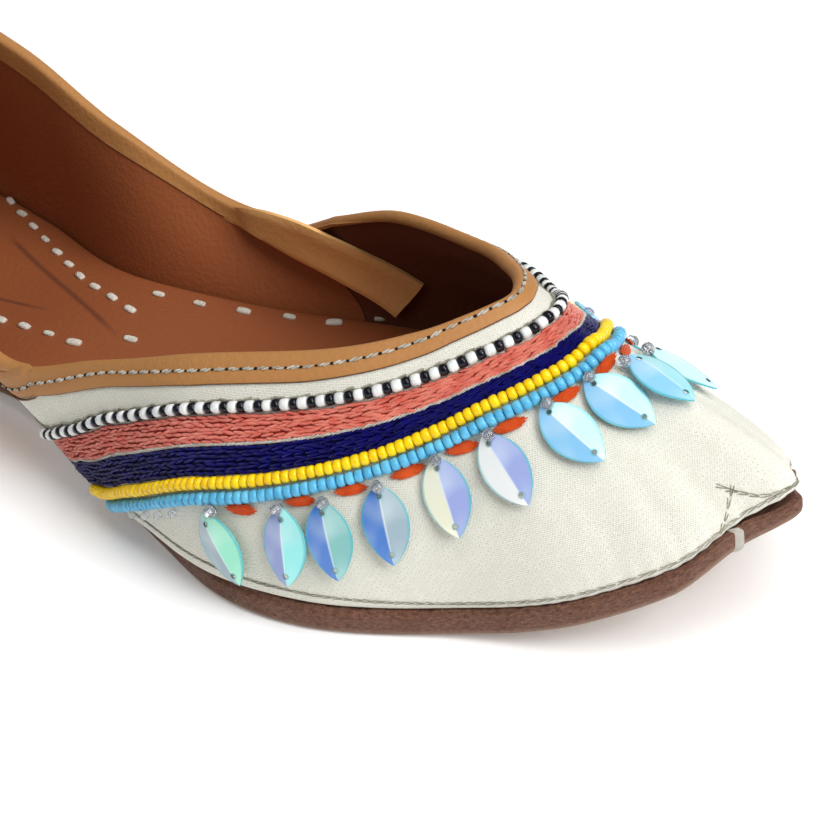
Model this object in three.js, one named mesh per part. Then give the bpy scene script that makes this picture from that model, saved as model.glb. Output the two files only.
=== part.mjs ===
// Mojari slip-on shoe, right foot: leather sole, low leather quarter and a beaded cloth vamp.
// Millimetres, +Z up, toe toward +X, outer side toward -Y. The origin is under the middle of the sole.

import * as THREE from 'three';
import { mergeVertices } from 'three/addons/utils/BufferGeometryUtils.js';

// Driving sizes of the shoe
const LENGTH = 250; // heel back to the tip of the toe tab
const BALL_WIDTH = 84; // widest part of the sole
const HEEL_HEIGHT = 58; // floor to the topline at the heel
const THROAT_HEIGHT = 47; // floor to the topline at the throat
const SWING = 8; // how far toe and heel swing toward the inner side
const SWING_CENTRE = 1.25; // shift that puts the middle of the width over the origin

// Sole
const SOLE_THICK = 4.7;
const TOE_SPRING = 17.5; // lift of the tip
const SPRING_RUN = 55; // length of the rising front
const TOE_KICK = { rise: 2.2, start: 12, end: 5.5 }; // short step up in front of the cloth, from the tip
const ARCH_RISE = 2;
const ARCH_FRONT = 118; // from the tip
const ARCH_BACK = 188;
const TAB_LENGTH = 5.75; // pointed tab in front of the cloth
const TAB_HALF = 5;
const CLOTH_POINT = 5.6; // the foot of the cloth follows the tab
const TAB_THIN = 1.4;

// Upper, insole and clearances
const SEAT = 0.3; // gap between touching pieces
const FEATHER = 1.6; // the upper stands this far inside the sole's edge
const WALL = 1.6; // quarter leather with its lining
const PROUD = 1.0; // the vamp lies this much outside the quarter
const INSOLE_THICK = 1.5;
const INSOLE_GAP = 0.5;
const INSOLE_TOE_GAP = 3; // more room where the wall leans back over the toe

// Trim: distances down the upper from the topline
const LIP = 0.8; // thickness of the bindings
const VAMP_BINDING = { wing: 6, throat: 4, inside: 2.2 };
const QUARTER_BINDING = { outside: 4.5, inside: 5.5 };
const QUARTER_STOP = 0.017; // its ends lie this far behind the vamp binding, in u
const TAIL = { from: 3.2, to: 26.5, lower: 0.5224, upper: 0.5524, slide: 0.0746, thick: 0.9, seat: 0.45 };

// First and last bead row on the wing and at the throat. The trim narrows from one rib to the other.
const TRIM = { wing: { first: 10.2, last: 24.6 }, throat: { first: 8.2, last: 18.7 }, from: 0.67, to: 0.87 };
const TRIM_SINK = { deep: 3.2, from: 0.525, to: 0.6 }; // the rows sink toward the rear of the wing
// Other trim lines: a share of the way from the first to the last row, and a distance below that
const BEAD = 2.2;
const BAND_THICK = 0.7;
const BANDS = [
  { name: 'coral_band', from: { share: 0, below: 1.4 }, to: { share: 0.37, below: 0 }, colour: 0xe8685c },
  { name: 'navy_band', from: { share: 0.45, below: 0 }, to: { share: 1, below: -3.9 }, colour: 0x12105a },
];
const BEAD_LINES = [
  { name: 'beads_black_white', line: { share: 0, below: 0 }, colour: 0xf2f2f0 },
  { name: 'beads_yellow', line: { share: 1, below: -2.5 }, colour: 0xf6c90f },
  { name: 'beads_blue', line: { share: 1, below: 0 }, colour: 0x6cc4ea },
];
const LEAF = { length: 13, half: 3.75, fold: 1.0, thick: 0.5, lift: 0.4 };

// One rib of the upper per row, from the heel centre (u 0) to the toe centre (u 1), both sides alike.
// foot and top: along the length from the heel, and half width as a share of half the ball width.
// high: topline height as a share of the heel height (quarter) or throat height (vamp).
// base, lean: length and outward angle of the wall where it leaves the sole.
// crest, drop: length of the wall at the topline, and its angle below the level.
const QUARTER_RIBS = [
  { u: 0.0, foot: [0.0, 0.0], top: [0.012, 0.0], high: 1.0, base: 18, lean: 9, crest: 14, drop: 82 },
  { u: 0.068, foot: [0.024, 0.43], top: [0.034, 0.37], high: 0.983, base: 17, lean: 9, crest: 14, drop: 82 },
  { u: 0.157, foot: [0.112, 0.705], top: [0.114, 0.59], high: 0.914, base: 15, lean: 7, crest: 14, drop: 80 },
  { u: 0.254, foot: [0.22, 0.69], top: [0.216, 0.66], high: 0.802, base: 13, lean: 5, crest: 12, drop: 78 },
  { u: 0.379, foot: [0.36, 0.54], top: [0.324, 0.67], high: 0.621, base: 11, lean: 8, crest: 10, drop: 70 },
];
const VAMP_RIBS = [
  { u: 0.532, foot: [0.528, 0.806], top: [0.463, 0.75], high: 0.525, base: 5.5, lean: 8, crest: 8.5, drop: 57 },
  { u: 0.59, foot: [0.588, 0.91], top: [0.533, 0.69], high: 0.623, base: 12, lean: 8, crest: 9, drop: 48 },
  { u: 0.657, foot: [0.664, 1.0], top: [0.615, 0.62], high: 0.79, base: 15, lean: 8, crest: 10, drop: 40 },
  { u: 0.725, foot: [0.74, 0.95], top: [0.708, 0.45], high: 0.877, base: 15, lean: 7, crest: 11, drop: 36 },
  { u: 0.807, foot: [0.828, 0.73], top: [0.758, 0.28], high: 0.936, base: 12, lean: 5, crest: 12, drop: 36 },
  { u: 0.886, foot: [0.912, 0.56], top: [0.782, 0.15], high: 0.979, base: 10, lean: 3, crest: 13, drop: 37 },
  { u: 0.936, foot: [0.961, 0.36], top: [0.792, 0.068], high: 0.998, base: 8, lean: 2, crest: 14, drop: 38 },
  { u: 1.0, foot: [0.977, 0.0], top: [0.796, 0.0], high: 1.004, base: 8, lean: 3, crest: 14, drop: 38 },
];

// Wing of the vamp over the quarter: its edge leaves the collar at one rib and falls to its rear rib
const WING = { collar: 0.537, rear: 0.47, fall: 7 };

// Leaf sequins: place around the vamp, middle below the last bead row, tilt toward the toe in degrees
const OUTER_LEAVES = [
  { u: 0.677, below: 8.0, tilt: 27 },
  { u: 0.718, below: 8.6, tilt: 4 },
  { u: 0.744, below: 9.0, tilt: 13 },
  { u: 0.776, below: 8.8, tilt: 9 },
  { u: 0.816, below: 8.1, tilt: 8 },
  { u: 0.863, below: 8.3, tilt: 13 },
  { u: 0.918, below: 8.0, tilt: 13 },
  { u: 0.97, below: 8.0, tilt: 7 },
];
const INNER_LEAVES = [
  { u: 0.962, below: 8.3, tilt: 11 },
  { u: 0.895, below: 8.6, tilt: 18 },
  { u: 0.85, below: 8.2, tilt: 11 },
  { u: 0.805, below: 8.0, tilt: 9 },
  { u: 0.77, below: 8.6, tilt: 9 },
  { u: 0.738, below: 8.8, tilt: 9 },
  { u: 0.706, below: 8.4, tilt: 8 },
  { u: 0.668, below: 8.1, tilt: 22 },
];

// Mesh fineness
const BACK_STEPS = 19; // heel to the wing's rear edge
const WING_STEPS = 4; // along the wing
const FRONT_STEPS = 18; // wing to the toe corner
const TOE_STEPS = 8; // round the toe
const TOE_CORNER = 0.93;
const WALL_ROWS = 7; // below the wing's edge
const TAIL_STEPS = 9; // along the tail
const TAIL_STRIPS = 3; // across it
const RIB_SAMPLES = 40;
const STEP_U = 0.002; // the step from quarter to vamp, along the length
const STEP_DOWN = 0.4; // the same step, down the wall
const NEAR = 0.003; // short way along u
const SHORT = 0.3; // short way down a rib
const LEAST_LEVEL = 6; // ribs that stand nearly upright keep this much level run

const HALF_LENGTH = LENGTH / 2;
const HALF_BALL = BALL_WIDTH / 2;
const RADIANS = Math.PI / 180;

// Columns of the two tables, in millimetres and radians
function ribRow(row, height) {
  return {
    u: row.u,
    footX: (row.foot[0] - 0.5) * LENGTH,
    footY: row.foot[1] * HALF_BALL,
    topX: (row.top[0] - 0.5) * LENGTH,
    topY: row.top[1] * HALF_BALL,
    topZ: row.high * height,
    base: row.base,
    lean: row.lean * RADIANS,
    crest: row.crest,
    drop: row.drop * RADIANS,
  };
}

const ROWS = [
  ...QUARTER_RIBS.map((row) => ribRow(row, HEEL_HEIGHT)),
  ...VAMP_RIBS.map((row) => ribRow(row, THROAT_HEIGHT)),
];

// The rows mirrored past heel and toe, so that the curves run smoothly across the centre line
function mirrored(row, axis) {
  return { ...row, u: 2 * axis - row.u, footY: -row.footY, topY: -row.topY };
}
const KNOTS = [
  ...ROWS.slice(1, 3).reverse().map((row) => mirrored(row, 0)),
  ...ROWS,
  ...ROWS.slice(-3, -1).reverse().map((row) => mirrored(row, 1)),
];

// Smooth value of one column at u
function column(key, u) {
  let i = 1;
  while (i < KNOTS.length - 3 && KNOTS[i + 1].u <= u) {
    i += 1;
  }
  const slope = (j) => {
    const before = KNOTS[j].u - KNOTS[j - 1].u;
    const after = KNOTS[j + 1].u - KNOTS[j].u;
    const rising = (KNOTS[j][key] - KNOTS[j - 1][key]) / before;
    const leaving = (KNOTS[j + 1][key] - KNOTS[j][key]) / after;
    return (leaving * before + rising * after) / (before + after);
  };
  const h = KNOTS[i + 1].u - KNOTS[i].u;
  const t = (u - KNOTS[i].u) / h;
  const keep = 2 * t ** 3 - 3 * t ** 2 + 1;
  const start = (t ** 3 - 2 * t ** 2 + t) * h * slope(i);
  const end = (t ** 3 - t ** 2) * h * slope(i + 1);
  return keep * KNOTS[i][key] + start + (1 - keep) * KNOTS[i + 1][key] + end;
}

// Heights of the sole
function soleBottom(x) {
  const fromTip = HALF_LENGTH - x;
  if (fromTip < SPRING_RUN) {
    const kick = 1 - THREE.MathUtils.smoothstep(fromTip, TOE_KICK.end, TOE_KICK.start);
    return TOE_SPRING * ((SPRING_RUN - fromTip) / SPRING_RUN) ** 2 + TOE_KICK.rise * kick;
  }
  if (fromTip > ARCH_FRONT && fromTip < ARCH_BACK) {
    const share = (fromTip - ARCH_FRONT) / (ARCH_BACK - ARCH_FRONT);
    return ARCH_RISE * Math.sin(Math.PI * share) ** 2;
  }
  return 0;
}
function soleTop(x) {
  return soleBottom(x) + SOLE_THICK;
}

// Outline of the sole at u, moved outward by a distance
function outline(u, outward = 0) {
  const step = 0.001;
  const here = new THREE.Vector2(column('footX', u), column('footY', u));
  const dx = column('footX', u + step) - column('footX', u - step);
  const dy = column('footY', u + step) - column('footY', u - step);
  const normal = new THREE.Vector2(-dy, dx).normalize();
  return { point: here.addScaledVector(normal, outward), normal };
}

// How much of the pointed tab belongs to a place of the outline
function tabShare(u, y) {
  return u > 0.5 ? Math.exp(-((y / TAB_HALF) ** 2)) : 0;
}

// One rib of the upper: a cubic curve from the topline down to the sole, with its length at each sample
const ribStore = new Map();
function rib(u) {
  const key = u.toFixed(5);
  if (ribStore.has(key)) {
    return ribStore.get(key);
  }
  const { point, normal } = outline(u, -FEATHER);
  point.x += CLOTH_POINT * tabShare(u, point.y);
  const foot = new THREE.Vector3(point.x, point.y, soleTop(point.x) + SEAT);
  const top = new THREE.Vector3(column('topX', u), column('topY', u), column('topZ', u));
  const lean = column('lean', u);
  const base = column('base', u);
  const rise = new THREE.Vector3(normal.x * Math.sin(lean), normal.y * Math.sin(lean), Math.cos(lean));
  const wallHandle = foot.clone().addScaledVector(rise, base);
  const level = new THREE.Vector3(foot.x - top.x, foot.y - top.y, 0);
  level.divideScalar(Math.max(level.length(), LEAST_LEVEL));
  const drop = column('drop', u);
  const fall = level.multiplyScalar(Math.cos(drop)).add(new THREE.Vector3(0, 0, -Math.sin(drop)));
  const topHandle = top.clone().addScaledVector(fall, column('crest', u));
  const curve = new THREE.CubicBezierCurve3(top, topHandle, wallHandle, foot);
  const points = curve.getPoints(RIB_SAMPLES);
  const lengths = [0];
  for (let i = 1; i < points.length; i += 1) {
    lengths.push(lengths[i - 1] + points[i].distanceTo(points[i - 1]));
  }
  const made = { points, lengths, total: lengths[RIB_SAMPLES] };
  ribStore.set(key, made);
  return made;
}

// Point on the upper at u, a distance down from the topline. A negative distance rises past it.
function onRib(u, down) {
  const { points, lengths } = rib(u);
  let i = 1;
  while (i < RIB_SAMPLES && lengths[i] < down) {
    i += 1;
  }
  const t = (down - lengths[i - 1]) / (lengths[i] - lengths[i - 1]);
  return points[i - 1].clone().lerp(points[i], t);
}

// Outward direction of the upper
function outwardAt(u, down) {
  const inside = THREE.MathUtils.clamp(down, SHORT, rib(u).total - SHORT);
  const along = onRib(u + NEAR, inside).sub(onRib(u - NEAR, inside));
  const below = onRib(u, inside + SHORT).sub(onRib(u, inside - SHORT));
  return along.cross(below).normalize();
}

// Point of a piece on the upper: distance down, and height above the wall's middle surface
function onUpper(u, down, height) {
  return onRib(u, down).addScaledVector(outwardAt(u, down), height);
}

// Edge of the vamp below the collar, and a trim line below that edge
function wingEdge(u) {
  return WING.fall * THREE.MathUtils.clamp((WING.collar - u) / (WING.collar - WING.rear), 0, 1);
}
function narrowed(u, wing, throat) {
  return THREE.MathUtils.lerp(wing, throat, THREE.MathUtils.smoothstep(u, TRIM.from, TRIM.to));
}
function trimLine(u, { share, below }) {
  const first = narrowed(u, TRIM.wing.first, TRIM.throat.first);
  const last = narrowed(u, TRIM.wing.last, TRIM.throat.last);
  const sink = TRIM_SINK.deep * (1 - THREE.MathUtils.smoothstep(u, TRIM_SINK.from, TRIM_SINK.to));
  return wingEdge(u) + sink + first + share * (last - first) + below;
}

// Places along one side, and the shared columns of the mesh
function steps(from, to, count) {
  return Array.from({ length: count }, (_, i) => from + ((to - from) * i) / count);
}
const COLUMNS = [
  ...steps(0, WING.rear - STEP_U, BACK_STEPS),
  WING.rear - STEP_U,
  ...steps(WING.rear, WING.collar - STEP_U, WING_STEPS),
  WING.collar - STEP_U,
  ...steps(WING.collar, TOE_CORNER, FRONT_STEPS),
  ...steps(TOE_CORNER, 1, TOE_STEPS),
  1,
];
function columnsBetween(from, to) {
  return [from, ...COLUMNS.filter((u) => u > from + 2 * NEAR && u < to - 2 * NEAR), to];
}

// Ribs are worked out on one side: side -1 is the outer side of the shoe and side 1 the inner side
function onSide(point, side) {
  return new THREE.Vector3(point.x, side * point.y, point.z);
}

// The swing of toe and heel, put on every finished point
function swung(point) {
  const shift = SWING * (point.x / HALF_LENGTH) ** 2 - SWING_CENTRE;
  return [point.x, point.y + shift, point.z];
}

// Closed body from points and triangles, with equal points joined and flat triangles dropped
function body(points, triangles) {
  const geometry = new THREE.BufferGeometry();
  const positions = points.flatMap(swung);
  geometry.setAttribute('position', new THREE.Float32BufferAttribute(positions, 3));
  geometry.setIndex(triangles.flat());
  const joined = mergeVertices(geometry, 1e-4);
  const index = Array.from(joined.index.array);
  const kept = [];
  for (let i = 0; i < index.length; i += 3) {
    const [a, b, c] = index.slice(i, i + 3);
    if (a !== b && b !== c && c !== a) {
      kept.push(a, b, c);
    }
  }
  joined.setIndex(kept);
  joined.computeVertexNormals();
  return joined;
}

// A section carried through a list of stations. Each station is a ring of points.
function sweep(stations, closed, capTriangles) {
  const size = stations[0].length;
  const points = stations.flat();
  const triangles = [];
  const count = closed ? stations.length : stations.length - 1;
  for (let i = 0; i < count; i += 1) {
    const next = (i + 1) % stations.length;
    for (let k = 0; k < size; k += 1) {
      const l = (k + 1) % size;
      const [a, b, c, d] = [i * size + k, i * size + l, next * size + l, next * size + k];
      triangles.push([a, b, c], [a, c, d]);
    }
  }
  if (!closed) {
    const last = (stations.length - 1) * size;
    for (const [a, b, c] of capTriangles) {
      triangles.push([a, c, b], [last + a, last + b, last + c]);
    }
  }
  return body(points, triangles);
}

// Triangles of a flat section given as [down, height] pairs, turning the way the section does
function sectionTriangles(section) {
  const shape = section.map(([down, height]) => new THREE.Vector2(down, height));
  const turn = Math.sign(THREE.ShapeUtils.area(shape));
  const sameTurn = (corners) => Math.sign(THREE.ShapeUtils.area(corners.map((n) => shape[n]))) === turn;
  return THREE.ShapeUtils.triangulateShape(shape, [])
    .map(([a, b, c]) => (sameTurn([a, b, c]) ? [a, b, c] : [a, c, b]));
}

// A trim strip on the upper with a section at each place, and places round the toe, the heel or one wing
function trim(places, sectionAt) {
  const stations = places.map(({ u, side }) =>
    sectionAt(u).map(([down, height]) => onSide(onUpper(u, down, height), side)));
  return sweep(stations, false, sectionTriangles(sectionAt(places[0].u)));
}
function roundToe(from) {
  const us = columnsBetween(from, 1);
  const outer = us.map((u) => ({ u, side: -1 }));
  const inner = us.slice(0, -1).reverse().map((u) => ({ u, side: 1 }));
  return [...outer, ...inner];
}
function alongWing(from, to, side) {
  const places = columnsBetween(from, to).map((u) => ({ u, side }));
  return side < 0 ? places : places.reverse();
}
function roundHeel(to) {
  const us = columnsBetween(0, to);
  const inner = us.slice().reverse().map((u) => ({ u, side: 1 }));
  const outer = us.slice(1).map((u) => ({ u, side: -1 }));
  return [...inner, ...outer];
}

// Upper: one hollow wall from the sole to the topline, with a step where the vamp covers the quarter
function upperGeometry() {
  const inner = COLUMNS.slice(1, -1).reverse().map((u) => ({ u, side: 1 }));
  const places = [...COLUMNS.map((u) => ({ u, side: -1 })), ...inner];
  const stations = places.map(({ u, side }) => {
    const total = rib(u).total;
    const edge = Math.max(wingEdge(u), STEP_DOWN);
    const above = u < WING.collar ? 0 : PROUD;
    const below = u < WING.rear ? 0 : PROUD;
    const rows = [
      { down: 0, height: above },
      { down: edge, height: above },
      ...steps(edge + STEP_DOWN, total, WALL_ROWS).map((down) => ({ down, height: below })),
      { down: total, height: below },
    ];
    const inside = rows.map(({ down }) => ({ down, height: -WALL })).reverse();
    return [...rows, ...inside].map(({ down, height }) => {
      const point = onUpper(u, down, height);
      if (down === total) {
        point.setZ(soleTop(point.x) + SEAT);
      }
      return onSide(point, side);
    });
  });
  return sweep(stations, true, []);
}

// Plate between two outlines: edge rows of [outward, z at x] pairs, the same on both sides
function plate(us, edgeAt) {
  const points = [];
  const triangles = [];
  const rows = edgeAt(us[0]).length;
  for (const u of us) {
    for (const point of edgeAt(u)) {
      points.push(onSide(point, -1), onSide(point, 1));
    }
  }
  const id = (i, k, side) => (i * rows + k) * 2 + side;
  for (let i = 0; i < us.length - 1; i += 1) {
    for (let k = 0; k < rows - 1; k += 1) {
      const outer = [id(i, k, 0), id(i + 1, k, 0), id(i + 1, k + 1, 0), id(i, k + 1, 0)];
      const inner = [id(i, k, 1), id(i, k + 1, 1), id(i + 1, k + 1, 1), id(i + 1, k, 1)];
      for (const [a, b, c, d] of [outer, inner]) {
        triangles.push([a, b, c], [a, c, d]);
      }
    }
    const [under, over] = [0, rows - 1];
    const bottom = [id(i, under, 0), id(i, under, 1), id(i + 1, under, 1), id(i + 1, under, 0)];
    const top = [id(i, over, 0), id(i + 1, over, 0), id(i + 1, over, 1), id(i, over, 1)];
    for (const [a, b, c, d] of [bottom, top]) {
      triangles.push([a, b, c], [a, c, d]);
    }
  }
  return body(points, triangles);
}

// Sole: rounded lower edge, upright side and a narrow rebate under the cloth, with the pointed tab
function soleGeometry() {
  const side = [
    { outward: -1.3, share: 0 },
    { outward: -0.3, share: 0.1 },
    { outward: 0, share: 0.3 },
    { outward: 0, share: 0.82 },
    { outward: -0.8, share: 0.82 },
    { outward: -0.8, share: 1 },
  ];
  return plate(COLUMNS, (u) => side.map(({ outward, share }) => {
    const { point } = outline(u, outward);
    const tab = tabShare(u, point.y);
    const x = point.x + TAB_LENGTH * tab;
    const thick = SOLE_THICK - TAB_THIN * tab;
    return new THREE.Vector3(x, point.y, soleBottom(x) + thick * share);
  }));
}

// Insole inside the foot of the wall
function insoleGeometry() {
  return plate(COLUMNS, (u) => [0, 1].map((share) => {
    const gap = INSOLE_GAP + INSOLE_TOE_GAP * THREE.MathUtils.smoothstep(u, 0.8, TOE_CORNER);
    const { point } = outline(u, -FEATHER - WALL - gap);
    const z = soleTop(point.x) + SEAT + share * INSOLE_THICK;
    return new THREE.Vector3(point.x, point.y, z);
  }));
}

// Folded leather binding over the topline: lengths of its outer and inner leg
function bindingSection(outerFace, outside, inside) {
  const outer = outerFace + SEAT;
  const inner = -WALL - SEAT;
  return [
    [-SEAT, outer],
    [-SEAT, inner],
    [inside, inner],
    [inside, inner - LIP],
    [-SEAT - LIP, inner - LIP],
    [-SEAT - LIP, outer + LIP],
    [outside, outer + LIP],
    [outside, outer],
  ];
}
function vampBinding(u) {
  return bindingSection(PROUD, narrowed(u, VAMP_BINDING.wing, VAMP_BINDING.throat), VAMP_BINDING.inside);
}
function quarterBinding(u) {
  return bindingSection(0, Math.min(QUARTER_BINDING.outside, wingEdge(u) - SEAT), QUARTER_BINDING.inside);
}

// Flat strip on the vamp between two distances, and a row of beads as one rounded rib
function stripSection(from, to, thick) {
  const low = PROUD + SEAT;
  const downs = [from, (from + to) / 2, to];
  const face = downs.map((down) => [down, low + thick]);
  const back = downs.map((down) => [down, low]).reverse();
  return [...face, ...back];
}
function beadSection(middle) {
  const centre = PROUD + SEAT + BEAD / 2;
  return steps(0, -2 * Math.PI, 6).map((angle) => [
    middle + (BEAD / 2) * Math.cos(angle),
    centre + (BEAD / 2) * Math.sin(angle),
  ]);
}

// Tail of the quarter's edge, tucked down inside the wing: a strip that slides toward the toe as it falls
function tailGeometry(side) {
  const near = -WALL - TAIL.seat;
  const stations = [...steps(0, 1, TAIL_STEPS), 1].map((t) => {
    const down = TAIL.from + (TAIL.to - TAIL.from) * t;
    const slide = TAIL.slide * t;
    const across = [...steps(TAIL.lower, TAIL.upper, TAIL_STRIPS), TAIL.upper];
    const wallFace = across.map((u) => onUpper(u + slide, down, near));
    const openFace = across.map((u) => onUpper(u + slide, down, near - TAIL.thick)).reverse();
    const ring = [...wallFace, ...openFace].map((point) => onSide(point, side));
    return side > 0 ? ring : ring.reverse();
  });
  const caps = [];
  const last = 2 * TAIL_STRIPS + 1;
  for (let k = 0; k < TAIL_STRIPS; k += 1) {
    caps.push([k, k + 1, last - k - 1], [k, last - k - 1, last - k]);
  }
  return sweep(stations, false, caps);
}

// Leaf sequin: a thin plate folded along its middle, lying on the cloth below the bead rows
function leafGeometry({ u, below: drop, tilt }, side) {
  const middle = trimLine(u, { share: 1, below: drop });
  const centre = onUpper(u, middle, PROUD + SEAT + LEAF.lift);
  const outward = outwardAt(u, middle);
  const below = onRib(u, middle + 1).sub(onRib(u, middle - 1)).normalize();
  const toToe = new THREE.Vector3().crossVectors(below, outward).normalize();
  if (toToe.dot(onRib(u + NEAR, middle).sub(onRib(u - NEAR, middle))) < 0) {
    toToe.negate();
  }
  const angle = tilt * RADIANS;
  const long = below.clone().multiplyScalar(Math.cos(angle)).addScaledVector(toToe, Math.sin(angle));
  const across = new THREE.Vector3().crossVectors(outward, long);
  const lengthwise = [-0.5, -0.28, 0, 0.25, 0.5];
  const width = [0, 0.8, 1, 0.78, 0];
  const points = [];
  for (const layer of [0, LEAF.thick]) {
    lengthwise.forEach((share, i) => {
      for (const edge of [-1, 0, 1]) {
        const fold = LEAF.fold * width[i] * (1 - Math.abs(edge));
        const point = centre.clone().addScaledVector(long, share * LEAF.length);
        point.addScaledVector(across, edge * width[i] * LEAF.half);
        point.addScaledVector(outward, fold + layer);
        points.push(onSide(point, side));
      }
    });
  }
  const layerSize = lengthwise.length * 3;
  const quads = [];
  for (let i = 0; i < lengthwise.length - 1; i += 1) {
    for (const k of [0, 1]) {
      const [a, b, c, d] = [i * 3 + k, i * 3 + k + 1, (i + 1) * 3 + k + 1, (i + 1) * 3 + k];
      quads.push([a, b, c, d], [a, d, c, b].map((n) => n + layerSize));
    }
    const [p, q] = [i * 3, (i + 1) * 3];
    quads.push([p, q, q + layerSize, p + layerSize]);
    quads.push([q + 2, p + 2, p + 2 + layerSize, q + 2 + layerSize]);
  }
  const triangles = quads.flatMap(([a, b, c, d]) => [[a, b, c], [a, c, d]]);
  return body(points, side > 0 ? triangles : triangles.map(([a, b, c]) => [a, c, b]));
}

// The shoe: one named mesh for each piece
const shoe = new THREE.Group();
function add(name, geometry, colour, roughness) {
  const material = new THREE.MeshStandardMaterial({ color: colour, roughness, metalness: 0 });
  const mesh = new THREE.Mesh(geometry, material);
  mesh.name = name;
  shoe.add(mesh);
}

add('outsole', soleGeometry(), 0x6b4033, 0.75);
add('insole', insoleGeometry(), 0x8a4a2c, 0.6);
add('upper', upperGeometry(), 0xe9e6da, 0.85);

// Bindings: folded over the collar, and laid flat along the wing's edge where it crosses the quarter
const TAN = 0xc8945a;
const wingStrip = (u) => stripSection(wingEdge(u), wingEdge(u) + VAMP_BINDING.wing, LIP);
add('vamp_binding', trim(roundToe(WING.collar + STEP_U / 2), vampBinding), TAN, 0.5);
add('quarter_binding', trim(roundHeel(WING.collar - QUARTER_STOP), quarterBinding), TAN, 0.5);
for (const [name, side] of [['outer', -1], ['inner', 1]]) {
  const places = alongWing(WING.rear + STEP_U, WING.collar - STEP_U / 2, side);
  add(`wing_binding_${name}`, trim(places, wingStrip), TAN, 0.5);
  add(`quarter_tail_${name}`, tailGeometry(side), TAN, 0.5);
}

// Bands and bead rows: each starts where its lower edge clears the sole
function roundToeAbove(lowestAt) {
  const us = columnsBetween(WING.rear + STEP_U, 1);
  return roundToe(us.find((u) => rib(u).total > lowestAt(u) + SHORT));
}
for (const { name, from, to, colour } of BANDS) {
  const section = (u) => stripSection(trimLine(u, from), trimLine(u, to), BAND_THICK);
  add(name, trim(roundToeAbove((u) => trimLine(u, to)), section), colour, 0.6);
}
for (const { name, line, colour } of BEAD_LINES) {
  const places = roundToeAbove((u) => trimLine(u, line) + BEAD / 2);
  add(name, trim(places, (u) => beadSection(trimLine(u, line))), colour, 0.2);
}

const leaves = [...OUTER_LEAVES.map((leaf) => [leaf, -1]), ...INNER_LEAVES.map((leaf) => [leaf, 1])];
leaves.forEach(([leaf, side], i) => {
  const number = String(i + 1).padStart(2, '0');
  add(`leaf_sequin_${number}`, leafGeometry(leaf, side), 0xbfeff5, 0.15);
});

export default shoe;
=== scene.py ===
# %% [markdown]
# # A mojari with beads and leaf sequins
# A mojari is a flat slip-on of leather and cloth. Its solids already stand in the frame, so this lesson
# dresses them: it repeats the curve of the upper, lays fine cloth and leather on it, and then sews on
# cords, beads and sequins along lines that follow the topline.

import bmesh
import bpy
import numpy as np
from mathutils import Matrix, Vector


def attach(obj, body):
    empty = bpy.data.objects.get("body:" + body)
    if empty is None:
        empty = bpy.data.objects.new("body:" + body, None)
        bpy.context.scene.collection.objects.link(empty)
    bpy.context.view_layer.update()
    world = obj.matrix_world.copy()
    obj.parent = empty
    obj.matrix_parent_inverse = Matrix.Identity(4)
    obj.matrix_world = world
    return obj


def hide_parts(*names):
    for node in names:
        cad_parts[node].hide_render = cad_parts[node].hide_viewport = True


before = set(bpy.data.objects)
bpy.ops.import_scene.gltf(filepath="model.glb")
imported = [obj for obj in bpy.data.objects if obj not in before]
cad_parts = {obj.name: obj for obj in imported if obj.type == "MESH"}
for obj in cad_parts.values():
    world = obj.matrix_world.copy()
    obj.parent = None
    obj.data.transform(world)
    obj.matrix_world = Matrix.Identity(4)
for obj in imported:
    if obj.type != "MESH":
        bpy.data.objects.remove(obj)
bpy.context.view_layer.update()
scene = bpy.context.scene

# %% [markdown]
# ## The shape of the upper
# A shoemaker draws the upper as ribs: short curves from the topline down to the sole. Each row of the
# table is one rib, from the heel (u 0) to the toe (u 1). One could model the upper by hand, but then
# every bead row would have to be fitted to it by eye. With a function, a bead, a stitch and the cloth
# below them all ask for the same place on the same surface. Sizes are in millimetres.

# %% Sizes and ribs
MM = 0.001
LENGTH = 250.0
BALL_WIDTH = 84.0
HEEL_HEIGHT = 58.0
THROAT_HEIGHT = 47.0
SWING = 8.0  # toe and heel swing to the inner side
SWING_CENTRE = 1.25
SOLE_THICK = 4.7
TOE_SPRING, SPRING_RUN = 17.5, 55.0
KICK_RISE, KICK_START, KICK_END = 2.2, 12.0, 5.5  # short step up at the toe, from the tip
ARCH_RISE, ARCH_FRONT, ARCH_BACK = 2.0, 118.0, 188.0
TAB_LENGTH, TAB_HALF, TAB_THIN = 5.75, 5.0, 1.4
CLOTH_POINT = 5.6  # the foot of the cloth follows the pointed tab
SEAT = 0.3
FEATHER = 1.6  # the upper stands inside the sole's edge
WALL = 1.6
PROUD = 1.0  # the vamp lies outside the quarter
HALF_LENGTH, HALF_BALL = LENGTH / 2, BALL_WIDTH / 2

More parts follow.
